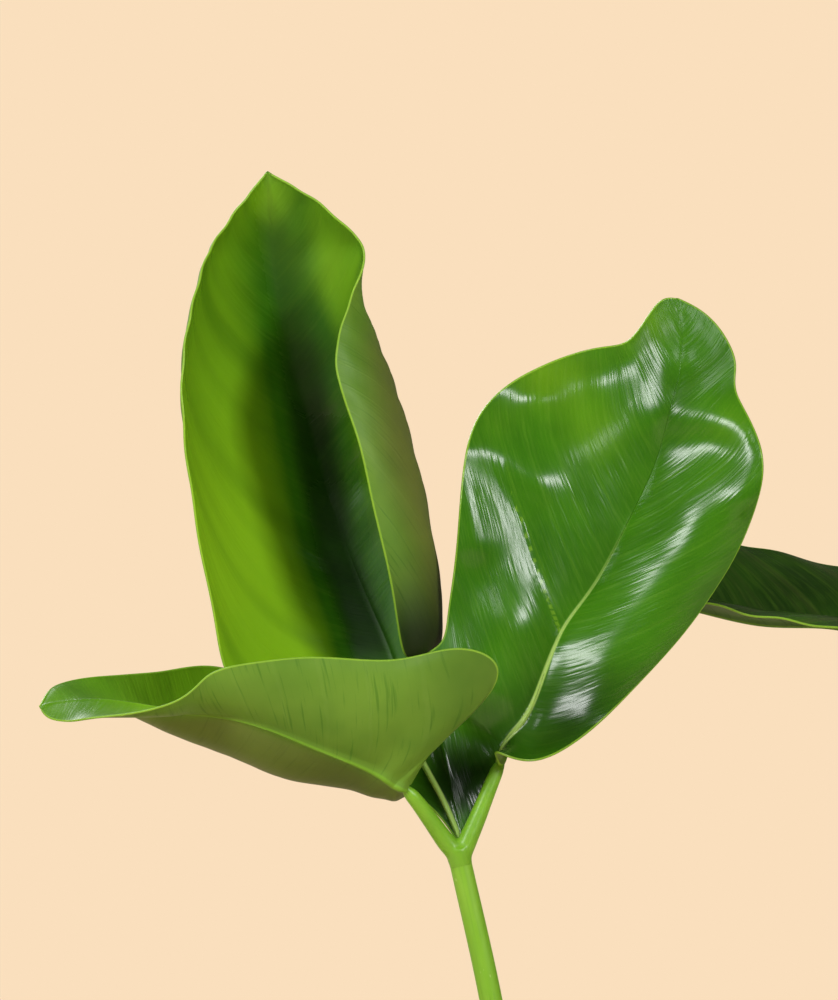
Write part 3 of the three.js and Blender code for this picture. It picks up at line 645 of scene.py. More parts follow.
def thicken(grids, ridge, ridge_start=0.001, sewn=0, reliefs=None, lean=1.0):
    """Makes a closed blade of one or more sheets, glossy face 0 and underside 1. The second sheet's left
    margin is sewn to the first one's right margin over that many rows. The ridge is how far the midrib stands
    out below, and it grows to that from the base to ridge_start."""
    points, swells, drops, lifts, veins, at = [], [], [], [], [], []
    for k, grid in enumerate(grids):
        start = sum(len(p) for p in points)
        at.append(start + np.arange(grid.shape[0] * grid.shape[1]).reshape(grid.shape[:2]))
        vein, rib, edge = measures(grid, lean)
        if sewn:
            half = np.arange(grid.shape[1]) > grid.shape[1] // 2
            joined_half = half if k == 0 else half[::-1]
            edge = edge + 9 * joined_half * (1 - step_up(np.arange(len(grid)), sewn - 9, sewn))[:, None]
        along = np.linspace(0, 1, len(grid))[:, None]
        grown = ridge * np.minimum(1, along / ridge_start) * (1 - along) + 0.2
        fine = 1 - 0.75 * step_up(along, 0.35, 0.6)
        body = THICK_MARGIN + (THICK_MIDDLE - THICK_MARGIN) * step_up(edge, 0, 3)
        drops.append((body + grown * np.exp(-(rib / (0.45 + 0.55 * grown)) ** 2)).ravel())
        groove = GROOVE_DEPTH * np.exp(-(rib / GROOVE_WIDTH) ** 2)
        cord = CORD_HEIGHT * np.exp(-(rib / CORD_WIDTH) ** 2)
        lifts.append((body - fine * groove + fine * cord).ravel())
        relief = reliefs[k] if reliefs else quilting
        swells.append(relief(vein, rib, edge).ravel())
        veins.append(np.column_stack([vein.ravel(), rib.ravel(), edge.ravel()]))
        points.append(grid.reshape(-1, 3))
    if sewn:
        at[1][:sewn + 1, 0] = at[0][:sewn + 1, -1]
    points, veins = np.vstack(points), np.vstack(veins)
    swells, drops, lifts = (np.concatenate(v) for v in (swells, drops, lifts))
    quads = np.vstack([
        np.stack([a[:-1, :-1], a[:-1, 1:], a[1:, 1:], a[1:, :-1]], axis=-1).reshape(-1, 4) for a in at])

    def normals_of(corners):
        a, b, c, d = (corners[quads[:, k]] for k in range(4))
        flat = np.cross(c - a, d - b)
        normals = np.zeros_like(corners)
        for k in range(4):
            np.add.at(normals, quads[:, k], flat)
        return unit(normals)

    points = points + normals_of(points) * swells[:, None]
    normals = normals_of(points)
    count = len(points)
    sides = np.vstack([quads[:, [k, (k + 1) % 4]] for k in range(4)])
    key = np.sort(sides, axis=1) @ [count, 1]
    _, where, times = np.unique(key, return_index=True, return_counts=True)
    border = sides[where[times == 1]]
    edge_way = points[border[:, 1]] - points[border[:, 0]]
    outward = np.zeros_like(points)
    for k in range(2):
        np.add.at(outward, border[:, k], np.cross(edge_way, normals[border[:, k]]))
    outward = unit(outward)
    rim_points, first = np.unique(border[:, 0], return_inverse=True)
    rim_at = dict(zip(rim_points.tolist(), range(2 * count, 2 * count + len(rim_points))))
    front = points + normals * lifts[:, None]
    back = points - normals * drops[:, None]
    rim = points[rim_points] + outward[rim_points] * RIM
    walls, wall_worn = [], []
    for a, b in border.tolist():
        walls.append([b, a, rim_at[a], rim_at[b]])
        walls.append([rim_at[b], rim_at[a], a + count, b + count])
        wall_worn += [0, 1]
    rim_veins = veins[rim_points]
    everything = np.vstack([front, back, rim])
    faces = quads.tolist() + (quads[:, ::-1] + count).tolist() + walls
    worn = np.r_[np.zeros(len(quads), int), np.ones(len(quads), int), wall_worn]
    return tidy(everything, faces, worn, np.vstack([veins, veins, rim_veins]))


def tidy(points, faces, worn, veins):
    """Drops points that no face uses."""
    used = np.unique(np.concatenate([np.asarray(face) for face in faces]))
    renamed = np.full(len(points), -1)
    renamed[used] = np.arange(len(used))
    return points[used], [renamed[face].tolist() for face in faces], worn, veins[used]


def blade_piece(name, body, finishes, slot, node, tones=None):
    """A piece made of blades. Its points keep their vein numbers, and a toned one its tones too."""
    points, faces, worn, veins = body
    piece(name, points, faces, finishes, slot, [node], worn=worn, kept={"veins": veins, **(tones or {})})


def melt(bars):
    """Bars that grew together: their joined surface, with its corners smoothed. It wears finish 2."""
    mesh = bpy.data.meshes.new("melting")
    points, faces = stacked(bar[:2] for bar in bars)
    mesh.from_pydata(points.tolist(), [], faces)
    thing = bpy.data.objects.new("melting", mesh)
    bpy.context.scene.collection.objects.link(thing)
    remesh = thing.modifiers.new("grown", "REMESH")
    remesh.mode = "VOXEL"
    remesh.voxel_size = MELT_VOXEL
    smooth = thing.modifiers.new("smoothed", "SMOOTH")
    smooth.factor = 0.5
    smooth.iterations = MELT_ROUNDS
    melted = bpy.data.meshes.new_from_object(thing.evaluated_get(bpy.context.evaluated_depsgraph_get()))
    out = np.zeros(len(melted.vertices) * 3)
    melted.vertices.foreach_get("co", out)
    faces = [list(p.vertices) for p in melted.polygons]
    bpy.data.objects.remove(thing)
    points = out.reshape(-1, 3)
    return points, faces, np.full(len(faces), 2), np.zeros_like(points)


PALE_MARGIN = "#9cc83c"


def side_veins(finish, place, vein, rib, narrow, free):
    """1 on the main side veins and 0 between them. They begin at a distance `free` from the midrib."""
    wander = finish.grain(place, 5, detail=2.0)
    wave = (vein * (2 * math.pi / VEIN_SPACING) + wander * 0.9 - 0.45).sine()
    return wave.rise(narrow, 1.0) * rib.rise(free, 5.0)


def upper_finish(name, green, dark_green, toned):
    """The glossy upper face. Its gloss breaks up along the side veins. A toned one also has a second rib,
    painted shade and painted light in places, painted shade in soft bands along its side veins, and is more
    satiny in places."""
    face = Finish(name + "_upper")
    place = face.place()
    vein, rib, edge = face.kept("veins")
    cloud = face.grain(place, 24, detail=3.0)
    main = side_veins(face, place, vein, rib, 0.9, 1.0)
    streak = face.grain(face.joined(vein, rib * 0.12, edge * 0.02), 0.7, detail=1.0)
    wrinkle = face.grain(face.joined(vein, rib * 0.2, edge * 0.05), 2.6, detail=2.0)
    band = face.grain(face.joined(vein, rib * 0.05, 0.0), 5.5, detail=2.0)
    tint = face.mix(cloud.rise(0.3, 0.7), dark_green, green)
    tint = face.mix(band.rise(0.35, 0.7) * 0.25, tint, green)
    tint = face.mix(streak.rise(0.4, 0.75) * 0.06, tint, "#89b83a")
    tint = face.mix(main * edge.rise(0, 6) * 0.06, tint, "#7fae34")
    roughness = 0.17 + streak * 0.12
    pale_rib = rib.fall(0.4, 0.85) * vein.fall(50, 85) * 0.8
    if toned:
        second_rib, depth, satin = face.kept("tones")
        painted_vein_band_shade = face.grain(face.joined(vein, rib * 0.08, 0.0), 13, detail=1.0)
        # Painted shade deepens the green, and painted light brightens it.
        tint = face.mix(depth.rise(0, 1), tint, "#10240a")
        tint = face.mix((0 - depth).rise(0, 1), tint, "#92c71f")
        # Painted shade in soft bands along the side veins.
        tint = face.mix(painted_vein_band_shade.rise(0.45, 0.7) * 0.35, tint, "#2c5c0a")
        tint = face.mix((second_rib * second_rib).fall(0.02, 0.3) * 0.45, tint, "#86b52c")
        roughness = roughness + satin * 0.35
        pale_rib = pale_rib * satin.fall(0, 0.5)
    else:
        tint = face.mix(band.rise(0.45, 0.8) * 0.3, tint, "#5a5832")
    tint = face.mix(pale_rib, tint, "#a9cc66")
    tint = face.mix(edge.fall(0, 0.3) * 0.6, tint, PALE_MARGIN)
    return face.surface({
        "Base Color": tint,
        "Roughness": roughness,
        "Specular IOR Level": 0.32,
        **sap(0.12, (0.8, 1.5, 0.2), 0.6),
        "Normal": face.bump(streak * 0.06 + wrinkle * 0.13 - main * 0.01),
    })


def under_finish(name, green, dark_green, rib_green, toned):
    """The satin underside, with fine veins and a pale midrib. A toned one has painted shade in places, some
    of it brownish.
    """
    back = Finish(name + "_under")
    place = back.place()
    vein, rib, edge = back.kept("veins")
    cloud = back.grain(place, 20, detail=3.0)
    main = side_veins(back, place, vein, rib, 0.93, 1.5)
    fine = back.grain(back.joined(vein, rib * 0.06, 0.0), 0.75, detail=2.0)
    tint = back.mix(cloud.rise(0.3, 0.7) * 0.4, green, dark_green)
    tint = back.mix(fine.rise(0.56, 0.7) * 0.45, tint, dark_green)
    tint = back.mix(main * 0.04, tint, "#94b15a")
    if toned:
        brownish_painted_shade, shade, _ = back.kept("back_painted_shade")
        # Brownish painted shade, then painted shade.
        tint = back.mix(brownish_painted_shade, tint, "#6b6a34")
        tint = back.mix(shade, tint, "#16230a")
    tint = back.mix(rib.fall(0.4, 0.8) * 0.55, tint, rib_green)
    tint = back.mix(edge.fall(0, 0.3) * 0.6, tint, PALE_MARGIN)
    return back.surface({
        "Base Color": tint,
        "Roughness": 0.42 + fine * 0.12,
        "Specular IOR Level": 0.25,
        **sap(0.15, (0.8, 1.4, 0.2), 0.6),
        "Normal": back.bump(fine * 0.03 + main * 0.02 + back.grain(place, 0.6) * 0.015),
    })


def arm_finish(name, green, blade_green):
    """The waxy skin of the knuckle and its arms."""
    limb = Finish(name + "_arm")
    place = limb.place()
    soft = limb.grain(place, 7, detail=3.0)
    line = limb.grain(place, 0.6, detail=2.0)
    return limb.surface({
        "Base Color": limb.mix(soft.rise(0.35, 0.7) * 0.2, green, blade_green),
        "Roughness": 0.32 + line * 0.1,
        "Specular IOR Level": 0.45,
        **sap(0.3, (0.9, 1.4, 0.3), 1.0),
        "Normal": limb.bump(line * 0.03 + soft * 0.15),
    })


def blade_finishes(name, upper, upper_dark, under, arm, toned=False):
    """A blade's finishes, in the order of the numbers that its faces wear: upper face, underside, arms."""
    return [
        upper_finish(name, upper, upper_dark, toned),
        under_finish(name, under, upper_dark, arm, toned),
        arm_finish(name, arm, upper),
    ]


older_blade = blade_finishes("older_blade", "#2c520f", "#1d3a0a", "#51763a", "#6f9f30")

# The older leaves spread their leaflets level, like the fingers of a hand. Each leaflet folds up a little
# from its midrib, arches down towards its tip and has a slow wave in its margins.

HALF_WIDTHS = [0.05, 0.52, 0.87, 1, 0.9, 0.58, 0.02]
LEAFLET_BOW = -0.1
LEAFLET_RIDGE = 1.2
# How many waves a margin has, and how far the left one is out of step with the right one.
MARGIN_WAVES, MARGIN_STEP = 1.6, 0.26
# How far up each arm springs, and where it bends: for the middle leaflet, the first pair and the second pair.
LEAFLETS_BEGIN = [5, 12, 17]
ARMS_BEND = [3, 9, 14]


def heading_vector(heading, pitch):
    heading, pitch = math.radians(heading), math.radians(pitch)
    level = math.cos(pitch)
    return np.array([math.cos(heading) * level, math.sin(heading) * level, math.sin(pitch)])


def leaflet_ribs(base, heading, pitch, length, width, fold, arch, wave, phase):
    """The ribs of a leaflet that has no ribs of its own."""
    along = heading_vector(heading, pitch)
    side = unit(np.cross(along, [0, 0, 1]))
    up = np.cross(side, along)
    arch = math.radians(arch)
    ribs = []
    for i, share in enumerate(HALF_WIDTHS):
        t = i / (len(HALF_WIDTHS) - 1)
        bend = arch * t
        rib = base + along * length * math.sin(bend) / arch - up * length * (1 - math.cos(bend)) / arch
        lift = up * math.cos(bend) + along * math.sin(bend)
        half = max(width / 2 * share, 0.5)
        margins = []
        for hand in (-1, 1):
            swing = math.sin(2 * math.pi * (MARGIN_WAVES * t + phase + hand * MARGIN_STEP / 2))
            slope = math.radians(fold + wave * swing)
            margins.append(rib + side * hand * half * math.cos(slope) + lift * half * math.sin(slope))
        ribs.append((rib, margins[0], LEAFLET_BOW * half, margins[1], LEAFLET_BOW * half))
    return ribs


def as_ribs(rows):
    """Ribs whose points are given as they look from the front."""
    return [(from_front(rib), from_front(left), left_bow, from_front(right), right_bow)
            for rib, left, left_bow, right, right_bow in rows]


# A leaflet of the second leaf points left behind the right leaflet, seen almost edge on from the front.
BEHIND_RIBS = [
    [[134.5, 30, 41], [134.8, 30.2, 40.4], 0, [134.3, 30.6, 41.6], 0],
    [[122, 35.5, 40], [121, 36, 32], -0.8, [122, 42, 47], -0.8],
    [[108, 40.5, 38.5], [106, 41, 24], -1.4, [108, 51, 49], -1.4],
    [[94, 44.8, 37.5], [92, 44.8, 19], -1.8, [94, 57, 51.5], -1.8],
    [[80, 48, 36.5], [78.5, 47.6, 16.5], -1.8, [81, 60.6, 53], -1.8],
    [[66, 48.4, 36], [65.5, 49.6, 16.5], -1.8, [67, 63.8, 53], -1.8],
    [[52, 51.2, 36], [52.5, 52.7, 18], -1.6, [53, 67, 50], -1.6],
    [[38, 54.2, 36.5], [39.5, 56.5, 23], -1, [39.5, 68.5, 45], -1],
    [[26, 56.5, 37], [27, 58.5, 30], -0.4, [27, 64, 41], -0.4],
    [[17, 58, 37.5], [17.3, 58.2, 37.2], 0, [17.3, 58.4, 37.8], 0],
]

LEAFLETS = {
    # each leaf's heading and tilt, and then for each leaflet its turn and pitch, and its length, width, fold,
    # arch, wave and phase, or its own ribs
    "leaf5": (248, 5, [
        (0, 6, 94, 47, 16, 52, 7, 0),
        (78, 10, 86, 43, 18, 44, 6, 0.3),
        (-78, 8, 86, 43, 20, 50, 6, 0.6),
    ]),
    "leaf4": (318, 6, [
        (0, 14, 118, 54, 20, 50, 7, 0.2),
        (74, 16, 108, 49, 22, 42, 7, 0.5),
        (-74, 12, 108, 49, 22, 44, 7, 0.9),
    ]),
    "leaf3": (152, 8, [
        (0, 16, 120, 52, 24, 50, 7, 0.4),
        (56, 14, 112, 48, 24, 44, 7, 0.1),
        (-56, 18, 112, 48, 24, 46, 7, 0.7),
        (114, 8, 94, 42, 26, 38, 6, 0.5),
        (-114, 14, 94, 42, 26, 40, 6, 0.2),
    ]),
    "leaf2": (62, 14, [
        (0, 34, 120, 52, 28, 48, 7, 0.6),
        (54, 34, 110, 48, 28, 42, 7, 0.2),
        (-56, 28, 114, 50, 26, 50, 7, 0.8),
        (114, 22, BEHIND_RIBS),
        (-114, 12, 98, 44, 24, 48, 6, 0.1),
    ]),
}


# The knuckle begins that far below the fork, a little thinner than the stalk, and swells by so much.
KNUCKLE_LENGTH, KNUCKLE_THINNER, KNUCKLE_SWELL = 6.5, 0.25, 0.65
# An arm swells to its full size over that distance, and sinks into the midrib over that share of its way.
ARM_SWELLS, ARM_SINKS = 5, 0.22


def knuckle(way, radius):
    """The swelling at the top of a stalk, which runs out into the stalk just below."""
    fork = np.asarray(way[-1], float)
    down = unit(np.asarray(way[-2], float) - fork)
    bar = [fork + down * KNUCKLE_LENGTH, fork + down * 3, fork - down * 0.8]

    def swelling(run, length):
        return radius - KNUCKLE_THINNER + KNUCKLE_SWELL * step_up(run, 0, length)
    return tube(bar, swelling, count=24)


def arm_bar(points, start, end):
    """An arm that swells out of the stalk, gets thinner along its way and sinks away into the midrib."""
    def radius(distance, length):
        left = 1 - distance / length
        swell = 0.7 + 0.3 * step_up(distance, 0, ARM_SWELLS)
        sink = 0.3 + 0.7 * step_up(left, 0, ARM_SINKS)
        return (end + (start - end) * left) * swell * sink
    return tube(points, radius, sides=20, count=60)


for leaf, (heading, tilt, rows) in LEAFLETS.items():
    way, radius = STALKS[leaf]
    fork = np.asarray(way[-1], float)
    bars, blades = [knuckle(way, radius)], []
    for turn, pitch, *shape in rows:
        pair = 2 if abs(turn) > 90 else min(abs(turn), 1)
        spread = heading_vector(heading + turn * 0.75, tilt)
        out = heading_vector(heading + turn, pitch)
        base = fork + spread * LEAFLETS_BEGIN[pair] + out * 4
        own_ribs = len(shape) == 1
        ribs = as_ribs(shape[0]) if own_ribs else leaflet_ribs(base, heading + turn, pitch, *shape)
        root = ribs[0][0] + (ribs[1][0] - ribs[0][0]) * 0.6
        bars.append(arm_bar([fork, fork + spread * ARMS_BEND[pair], ribs[0][0], root], 2.0, 0.9))
        blades.append(thicken([sheet(ribs, 9 if own_ribs else 14, 20)], LEAFLET_RIDGE))
    blade_piece(f"{leaf}_leaflets", join([melt(bars), *blades]), older_blade, "leaf", f"{leaf}_blade")

# The tall leaf at the front is the youngest but one. Its middle leaflet stands up as a trough whose right
# half rolls over. The right leaflet faces the front and is one sheet with the middle one at their base. The
# left leaflet reaches out level on an arm of its own.

MIDDLE_RIBS = [
    # midrib, left margin and its bow, right margin and its bow
    [[-0.3, 0.6, 0.3], [-0.8, 0.8, 0.3], 0, [0.2, 0.6, 0.3], 0],
    [[-3.5, 8.5, 3], [-6.1, 7.6, 4], 0.5, [-1.3, 9.1, 3], 0.3],
    [[-7, 15.2, 6], [-13.9, 12.8, 6], 1.5, [-3, 16.7, 5], 0.8],
    [[-10.2, 22, 10], [-25.4, 17.6, 5], 3, [-5.2, 26.3, 7], 1.5],
    [[-12.6, 31.5, 16], [-38.5, 23.7, 0], 5, [-9.1, 38.5, 8], 3],
    [[-15.7, 42.4, 22], [-49.1, 33.7, -6], 6.5, [-12.6, 42, 3], 10],
    [[-20.9, 54.3, 27], [-53.5, 47.8, -10], 7, [-15, 55, 0], 13.5],
    [[-26.5, 68.5, 30], [-57.6, 69.6, -12], 7, [-18.7, 71.7, -3], 15.5],
    [[-32, 84.8, 31], [-60.4, 90.2, -12], 7, [-23.5, 91.3, -4], 16],
    [[-36.5, 103.3, 29], [-60.2, 108.7, -9], 7, [-27.2, 107.6, -2], 14],
    [[-40, 120.7, 24], [-56.3, 125.4, -1], 5, [-21.7, 125.4, 6], 6],
    [[-40.9, 128.6, 21.5], [-53.4, 131.6, 4], 3.5, [-23.4, 132.6, 8], 4],
    [[-41.6, 136.3, 18], [-48.8, 138.2, 9], 1.5, [-31.4, 139.8, 10.5], 1.5],
    [[-42.2, 146.3, 13], [-42.6, 145.9, 13], 0, [-41.7, 145.9, 13], 0],
]

RIGHT_RIBS = [
    [[0.7, 0.6, 0.3], [0.2, 0.6, 0.3], 0, [1.1, 0.6, 0.3], 0],
    [[3, 6.2, 1.2], [-1.3, 9.1, 3], 0.3, [3.5, 6.1, 1.2], 0],
    [[5.2, 11.4, 2], [-3, 16.7, 5], 0.8, [5.7, 11.3, 2], 0],
    [[7.6, 16.8, 3], [-5.2, 26.3, 7], 1.5, [8.1, 16.8, 3], 0],
    [[9.3, 21.7, 4], [-9.1, 38.5, 8], 2.5, [7.6, 20.2, -4], 1],
    [[13, 26.7, 6], [-4.8, 43.5, 7], 1, [14.8, 18.3, -2], 2],
    [[16.5, 33.7, 8], [-2.8, 50.7, 7], 1, [26.1, 23.5, 1], 0],
    [[21.7, 46.3, 10.2], [-1.3, 62, 7], 0.5, [39.1, 35.9, 5.5], -4],
    [[28.9, 56.5, 12.2], [-0.2, 75, 8.5], 0, [51.7, 50.7, 9], -5],
    [[36.5, 70.7, 13.8], [2.6, 90.7, 13], 0, [61.5, 67.4, 9], -5],
    [[42, 82.6, 15.8], [12.6, 101.5, 17], 0, [65.2, 84.8, 9], -3],
    [[44.8, 92.4, 17], [27.8, 107.6, 18.6], 0, [59.8, 97.8, 14], -1],
    [[47.4, 103.3, 18.4], [36.5, 109.8, 19.2], 0, [59.3, 105.4, 17], 0],
    [[47.8, 112, 20], [42.2, 117.2, 20.2], 0, [54.3, 114.1, 19.5], 0],
    [[46.7, 118.7, 21], [46.5, 118.7, 21], 0, [47, 118.7, 21], 0],
]

LEFT_RIBS = [
    [[-12.6, 12.4, -6], [-11.1, 13.3, -6], 0, [-11.7, 10.9, -2], 0],
    [[-13.5, 12.8, -7], [-4.4, 23.4, -12], 0.3, [-14.2, 10.4, 3], 1.5],
    [[-14.8, 13.4, -7], [4.4, 31.2, -17], 0.4, [-15.7, 11.6, 8], 2.5],
    [[-16.5, 14.6, -8], [7.4, 39.2, -20], 1.5, [-17.8, 14, 14], 4.2],
    [[-19.1, 16.2, -8], [-1.5, 42.6, -20], 2.5, [-20, 17.9, 18], 6],
    [[-24.3, 18.6, -9], [-14.6, 40.2, -18], 3, [-24.8, 22, 24], 8],
    [[-34.1, 22.5, -9], [-30.2, 40.7, -17], 2.5, [-34.8, 26, 26], 10.3],
    [[-43.5, 26.2, -8], [-43.5, 39.8, -16], 2, [-44.3, 35, 26], 12.8],
    [[-53.7, 28.6, -6], [-54.8, 37, -15], 2, [-55.4, 38.8, 24], 12.2],
    [[-64.6, 29.6, -5], [-62.4, 31.1, -16], 2, [-65.2, 37.6, 18], 8],
    [[-76.5, 31.3, -4], [-77.4, 27.9, -14], 1, [-76.5, 36.7, 12], 3],
    [[-85.2, 31.1, -3], [-85.2, 27, -10], 0, [-86.3, 35.3, 6], 0],
    [[-89.4, 30.5, -3], [-89.5, 27.6, -6.5], 0, [-89.9, 33.2, 1], 0],
    [[-91.6, 30, -3], [-91.5, 29.7, -3], 0, [-91.6, 30.3, -3], 0],
]

SHARED_RIBS = 4
HERO_ROWS = 16
HERO_COLUMNS = 30
HERO_RIDGE, HERO_RIDGE_START = 1.6, 0.3
LEFT_RIDGE = 0.9

middle_sheet, right_sheet, left_sheet = (
    sheet(as_ribs(rows), HERO_ROWS, HERO_COLUMNS) for rows in (MIDDLE_RIBS, RIGHT_RIBS, LEFT_RIBS))

# The right leaflet is buckled into soft folds, and a second rib leaves its midrib for its left half.
SECOND_RIB = [
    (21.4, 46.4), (18.0, 55.2), (15.0, 64.1), (13.0, 70.7), (11.1, 74.6),
    (10.3, 79.6), (10.2, 85.0), (10.4, 90.0), (11.5, 97.0),
]
SECOND_RIB_DEPTH, SECOND_RIB_REACH = 0.9, 2.2
FOLDS_BEGIN, FOLDS_FULL = 16, 34
FOLDS = [
    # the line of each fold, how far it stands out towards the front, and its half width
    ([(-1, 84), (1, 74), (3, 66)], 2.0, 5),
    ([(10, 46), (4, 36)], 4.8, 11),
    ([(-1, 89), (8, 85), (16, 79)], 1.5, 4.5),
    ([(4, 101), (12, 96)], -3.0, 8),
    ([(22, 110), (20, 98)], -4.5, 9),
    ([(36, 104), (30, 101)], -3.0, 7),
    ([(46, 94), (62, 91)], 2.0, 5),
    ([(43, 75), (53, 87)], -3.2, 8),
    ([(39, 66), (30, 53), (24, 42), (22, 28)], -2.4, 8),
    ([(48, 105), (44, 104)], 2.2, 7),
    ([(66, 84), (63, 76)], 2.5, 5),
]


def as_seen(points):
    """How points look from the front: across, up and behind, the other way round from from_front."""
    behind = points[..., 1] - FORK[1]
    spread = 1 + behind / EYE_DISTANCE
    across = EYE_ACROSS + (points[..., 0] - FORK[0] - EYE_ACROSS) / spread
    up = EYE_UP + (points[..., 2] - FORK[2] - EYE_UP) / spread
    return np.stack([across, up, behind], axis=-1)


def to_line(places, line):
    """How far places are from a line of points, and how far along it their nearest point is, from 0 to 1."""
    line = np.array(line, float)
    nearest, share = np.full(places.shape[:-1], 1e9), np.zeros(places.shape[:-1])
    for i, (a, b) in enumerate(zip(line, line[1:])):
        t = np.clip((places - a) @ (b - a) / ((b - a) @ (b - a)), 0, 1)
        distance = np.linalg.norm(places - (a + t[..., None] * (b - a)), axis=-1)
        share = np.where(distance < nearest, (i + t) / (len(line) - 1), share)
        nearest = np.minimum(distance, nearest)
    return nearest, share


def buckle(places):
    """How far the folds and the second rib move the right leaflet towards the front."""
    rise = sum(height * np.exp(-(to_line(places, line)[0] / half) ** 2) for line, height, half in FOLDS)
    distance, share = to_line(places, SECOND_RIB)
    crease = np.exp(-np.sqrt(distance ** 2 + 0.09) / SECOND_RIB_REACH)
    crease *= (1 - step_up(share, 0.5, 1)) * step_up(share, -0.2, 0.15)
    return rise * step_up(places[..., 1], FOLDS_BEGIN, FOLDS_FULL) - SECOND_RIB_DEPTH * crease


right_view = as_seen(right_sheet)
right_view[..., 2] -= buckle(right_view[..., :2])
right_sheet = from_front(right_view)

# The sewn rows of the right sheet are drawn over to the margin that they share.
sewn_rows = SHARED_RIBS * HERO_ROWS
pull = middle_sheet[:sewn_rows + 1, -1] - right_sheet[:sewn_rows + 1, 0]
ease = (1 - step_up(np.arange(HERO_COLUMNS), 0, HERO_COLUMNS - 1))[None, :, None]
right_sheet[:sewn_rows + 1, :HERO_COLUMNS] += pull[:, None] * ease


def soft_bands(vein, rib, edge):
    return quilting(vein, rib, edge, depth=0.2, spacing=13, wave=0.15)


def fine_waves(vein, rib, edge):
    return quilting(vein, rib, edge, depth=0.02, spacing=7, wave=0.1)


LEFT_ARM = [
    [-0.5, -6.5, 0], [-0.9, -2.5, 0], [-3.5, 0.8, -0.8], [-7.3, 6.1, -3],
    [-10.4, 10.2, -5], [-13.2, 13.1, -6.4], [-14.4, 14.3, -7],
]
RIGHT_ARM = [
    [-0.4, -6.5, 0], [-0.1, -2.5, 0], [1.3, 1, 0.4], [3.5, 6.1, 1.5],
    [5.6, 11.3, 2.4], [8, 17, 3.6], [10, 21.5, 4.6],
]
tall_fork = melt([
    knuckle(*STALKS["leaf1"]),
    arm_bar(from_front(LEFT_ARM), 2.4, 1.4),
    arm_bar(from_front(RIGHT_ARM), 2.4, 1.3),
])

# Painted shade darkens the green in the middle leaflet's trough, at the base and along the lower ribs, and
# painted light brightens it on its left half and near the tips. All places are across and up from the fork,
# as they look from the front.
PAINTED_SHADING_SPOTS = [
    # across, up, how far it reaches, and how far painted shade darkens the green there (below 0, painted
    # light brightens it)
    (-42, 141, 8, -0.5), (-29, 124, 11, -0.3), (-4, 14, 10, 0.7), (3, 12, 8, 0.4), (7, 24, 8, 0.4),
    (21, 58, 11, 0.2), (17, 34, 10, 0.3), (26, 26, 11, 0.5), (34, 36, 9, 0.3), (47, 97, 6, 0.3),
    (19, 103, 9, -0.4), (29, 90, 9, -0.25), (39, 114, 8, -0.3), (58, 92, 7, -0.2), (7, 92, 6, -0.15),
]
# The bottom of the trough, the middle of the rolled half, and the midrib of the left leaflet.
TROUGH_UP, TROUGH_ACROSS = [31, 47, 64, 86, 108, 121, 136], [-17, -21.5, -27.6, -32, -35.5, -38.5, -41]
ROLL_UP, ROLL_ACROSS = [40, 64, 86, 108, 130], [-13, -17, -24, -27, -22]
KEEL_ACROSS, KEEL_UP = [-91, -64, -50, -35, -25, -13], [29, 28, 28, 22, 18, 12]
# The middle leaflet lies left of this.
MIDDLE_ENDS = -2


def middle_painted_shading_and_satin(across, up):
    """How far painted shade darkens the green of the middle leaflet's upper face in its trough, and painted
    light brightens it on its left half and right wall, and how satiny it is.
    """
    off = across - np.interp(up, TROUGH_UP, TROUGH_ACROSS)
    # Painted light on the left half, painted shade along the trough's bottom, and a little painted light on
    # its right wall.
    light = step_up(-off, 1, 15) * step_up(up, 26, 40) * (1 - 0.45 * step_up(up, 50, 120)) * (across < -8)
    painted_shading = (1 - step_up(np.abs(off), 2, 9)) * step_up(up, 34, 44) * (1 - step_up(up, 96, 128))
    wall = step_up(off, 5, 11) * (1 - step_up(off, 17, 19)) * step_up(up, 56, 70)
    satin = step_up(off, -5, 0) * (1 - step_up(off, 17, 20))
    satin *= step_up(up, 90, 104) + step_up(up, 28, 36) * (1 - step_up(up, 68, 82))
    return 0.75 * painted_shading - 0.85 * light - 0.25 * wall, satin


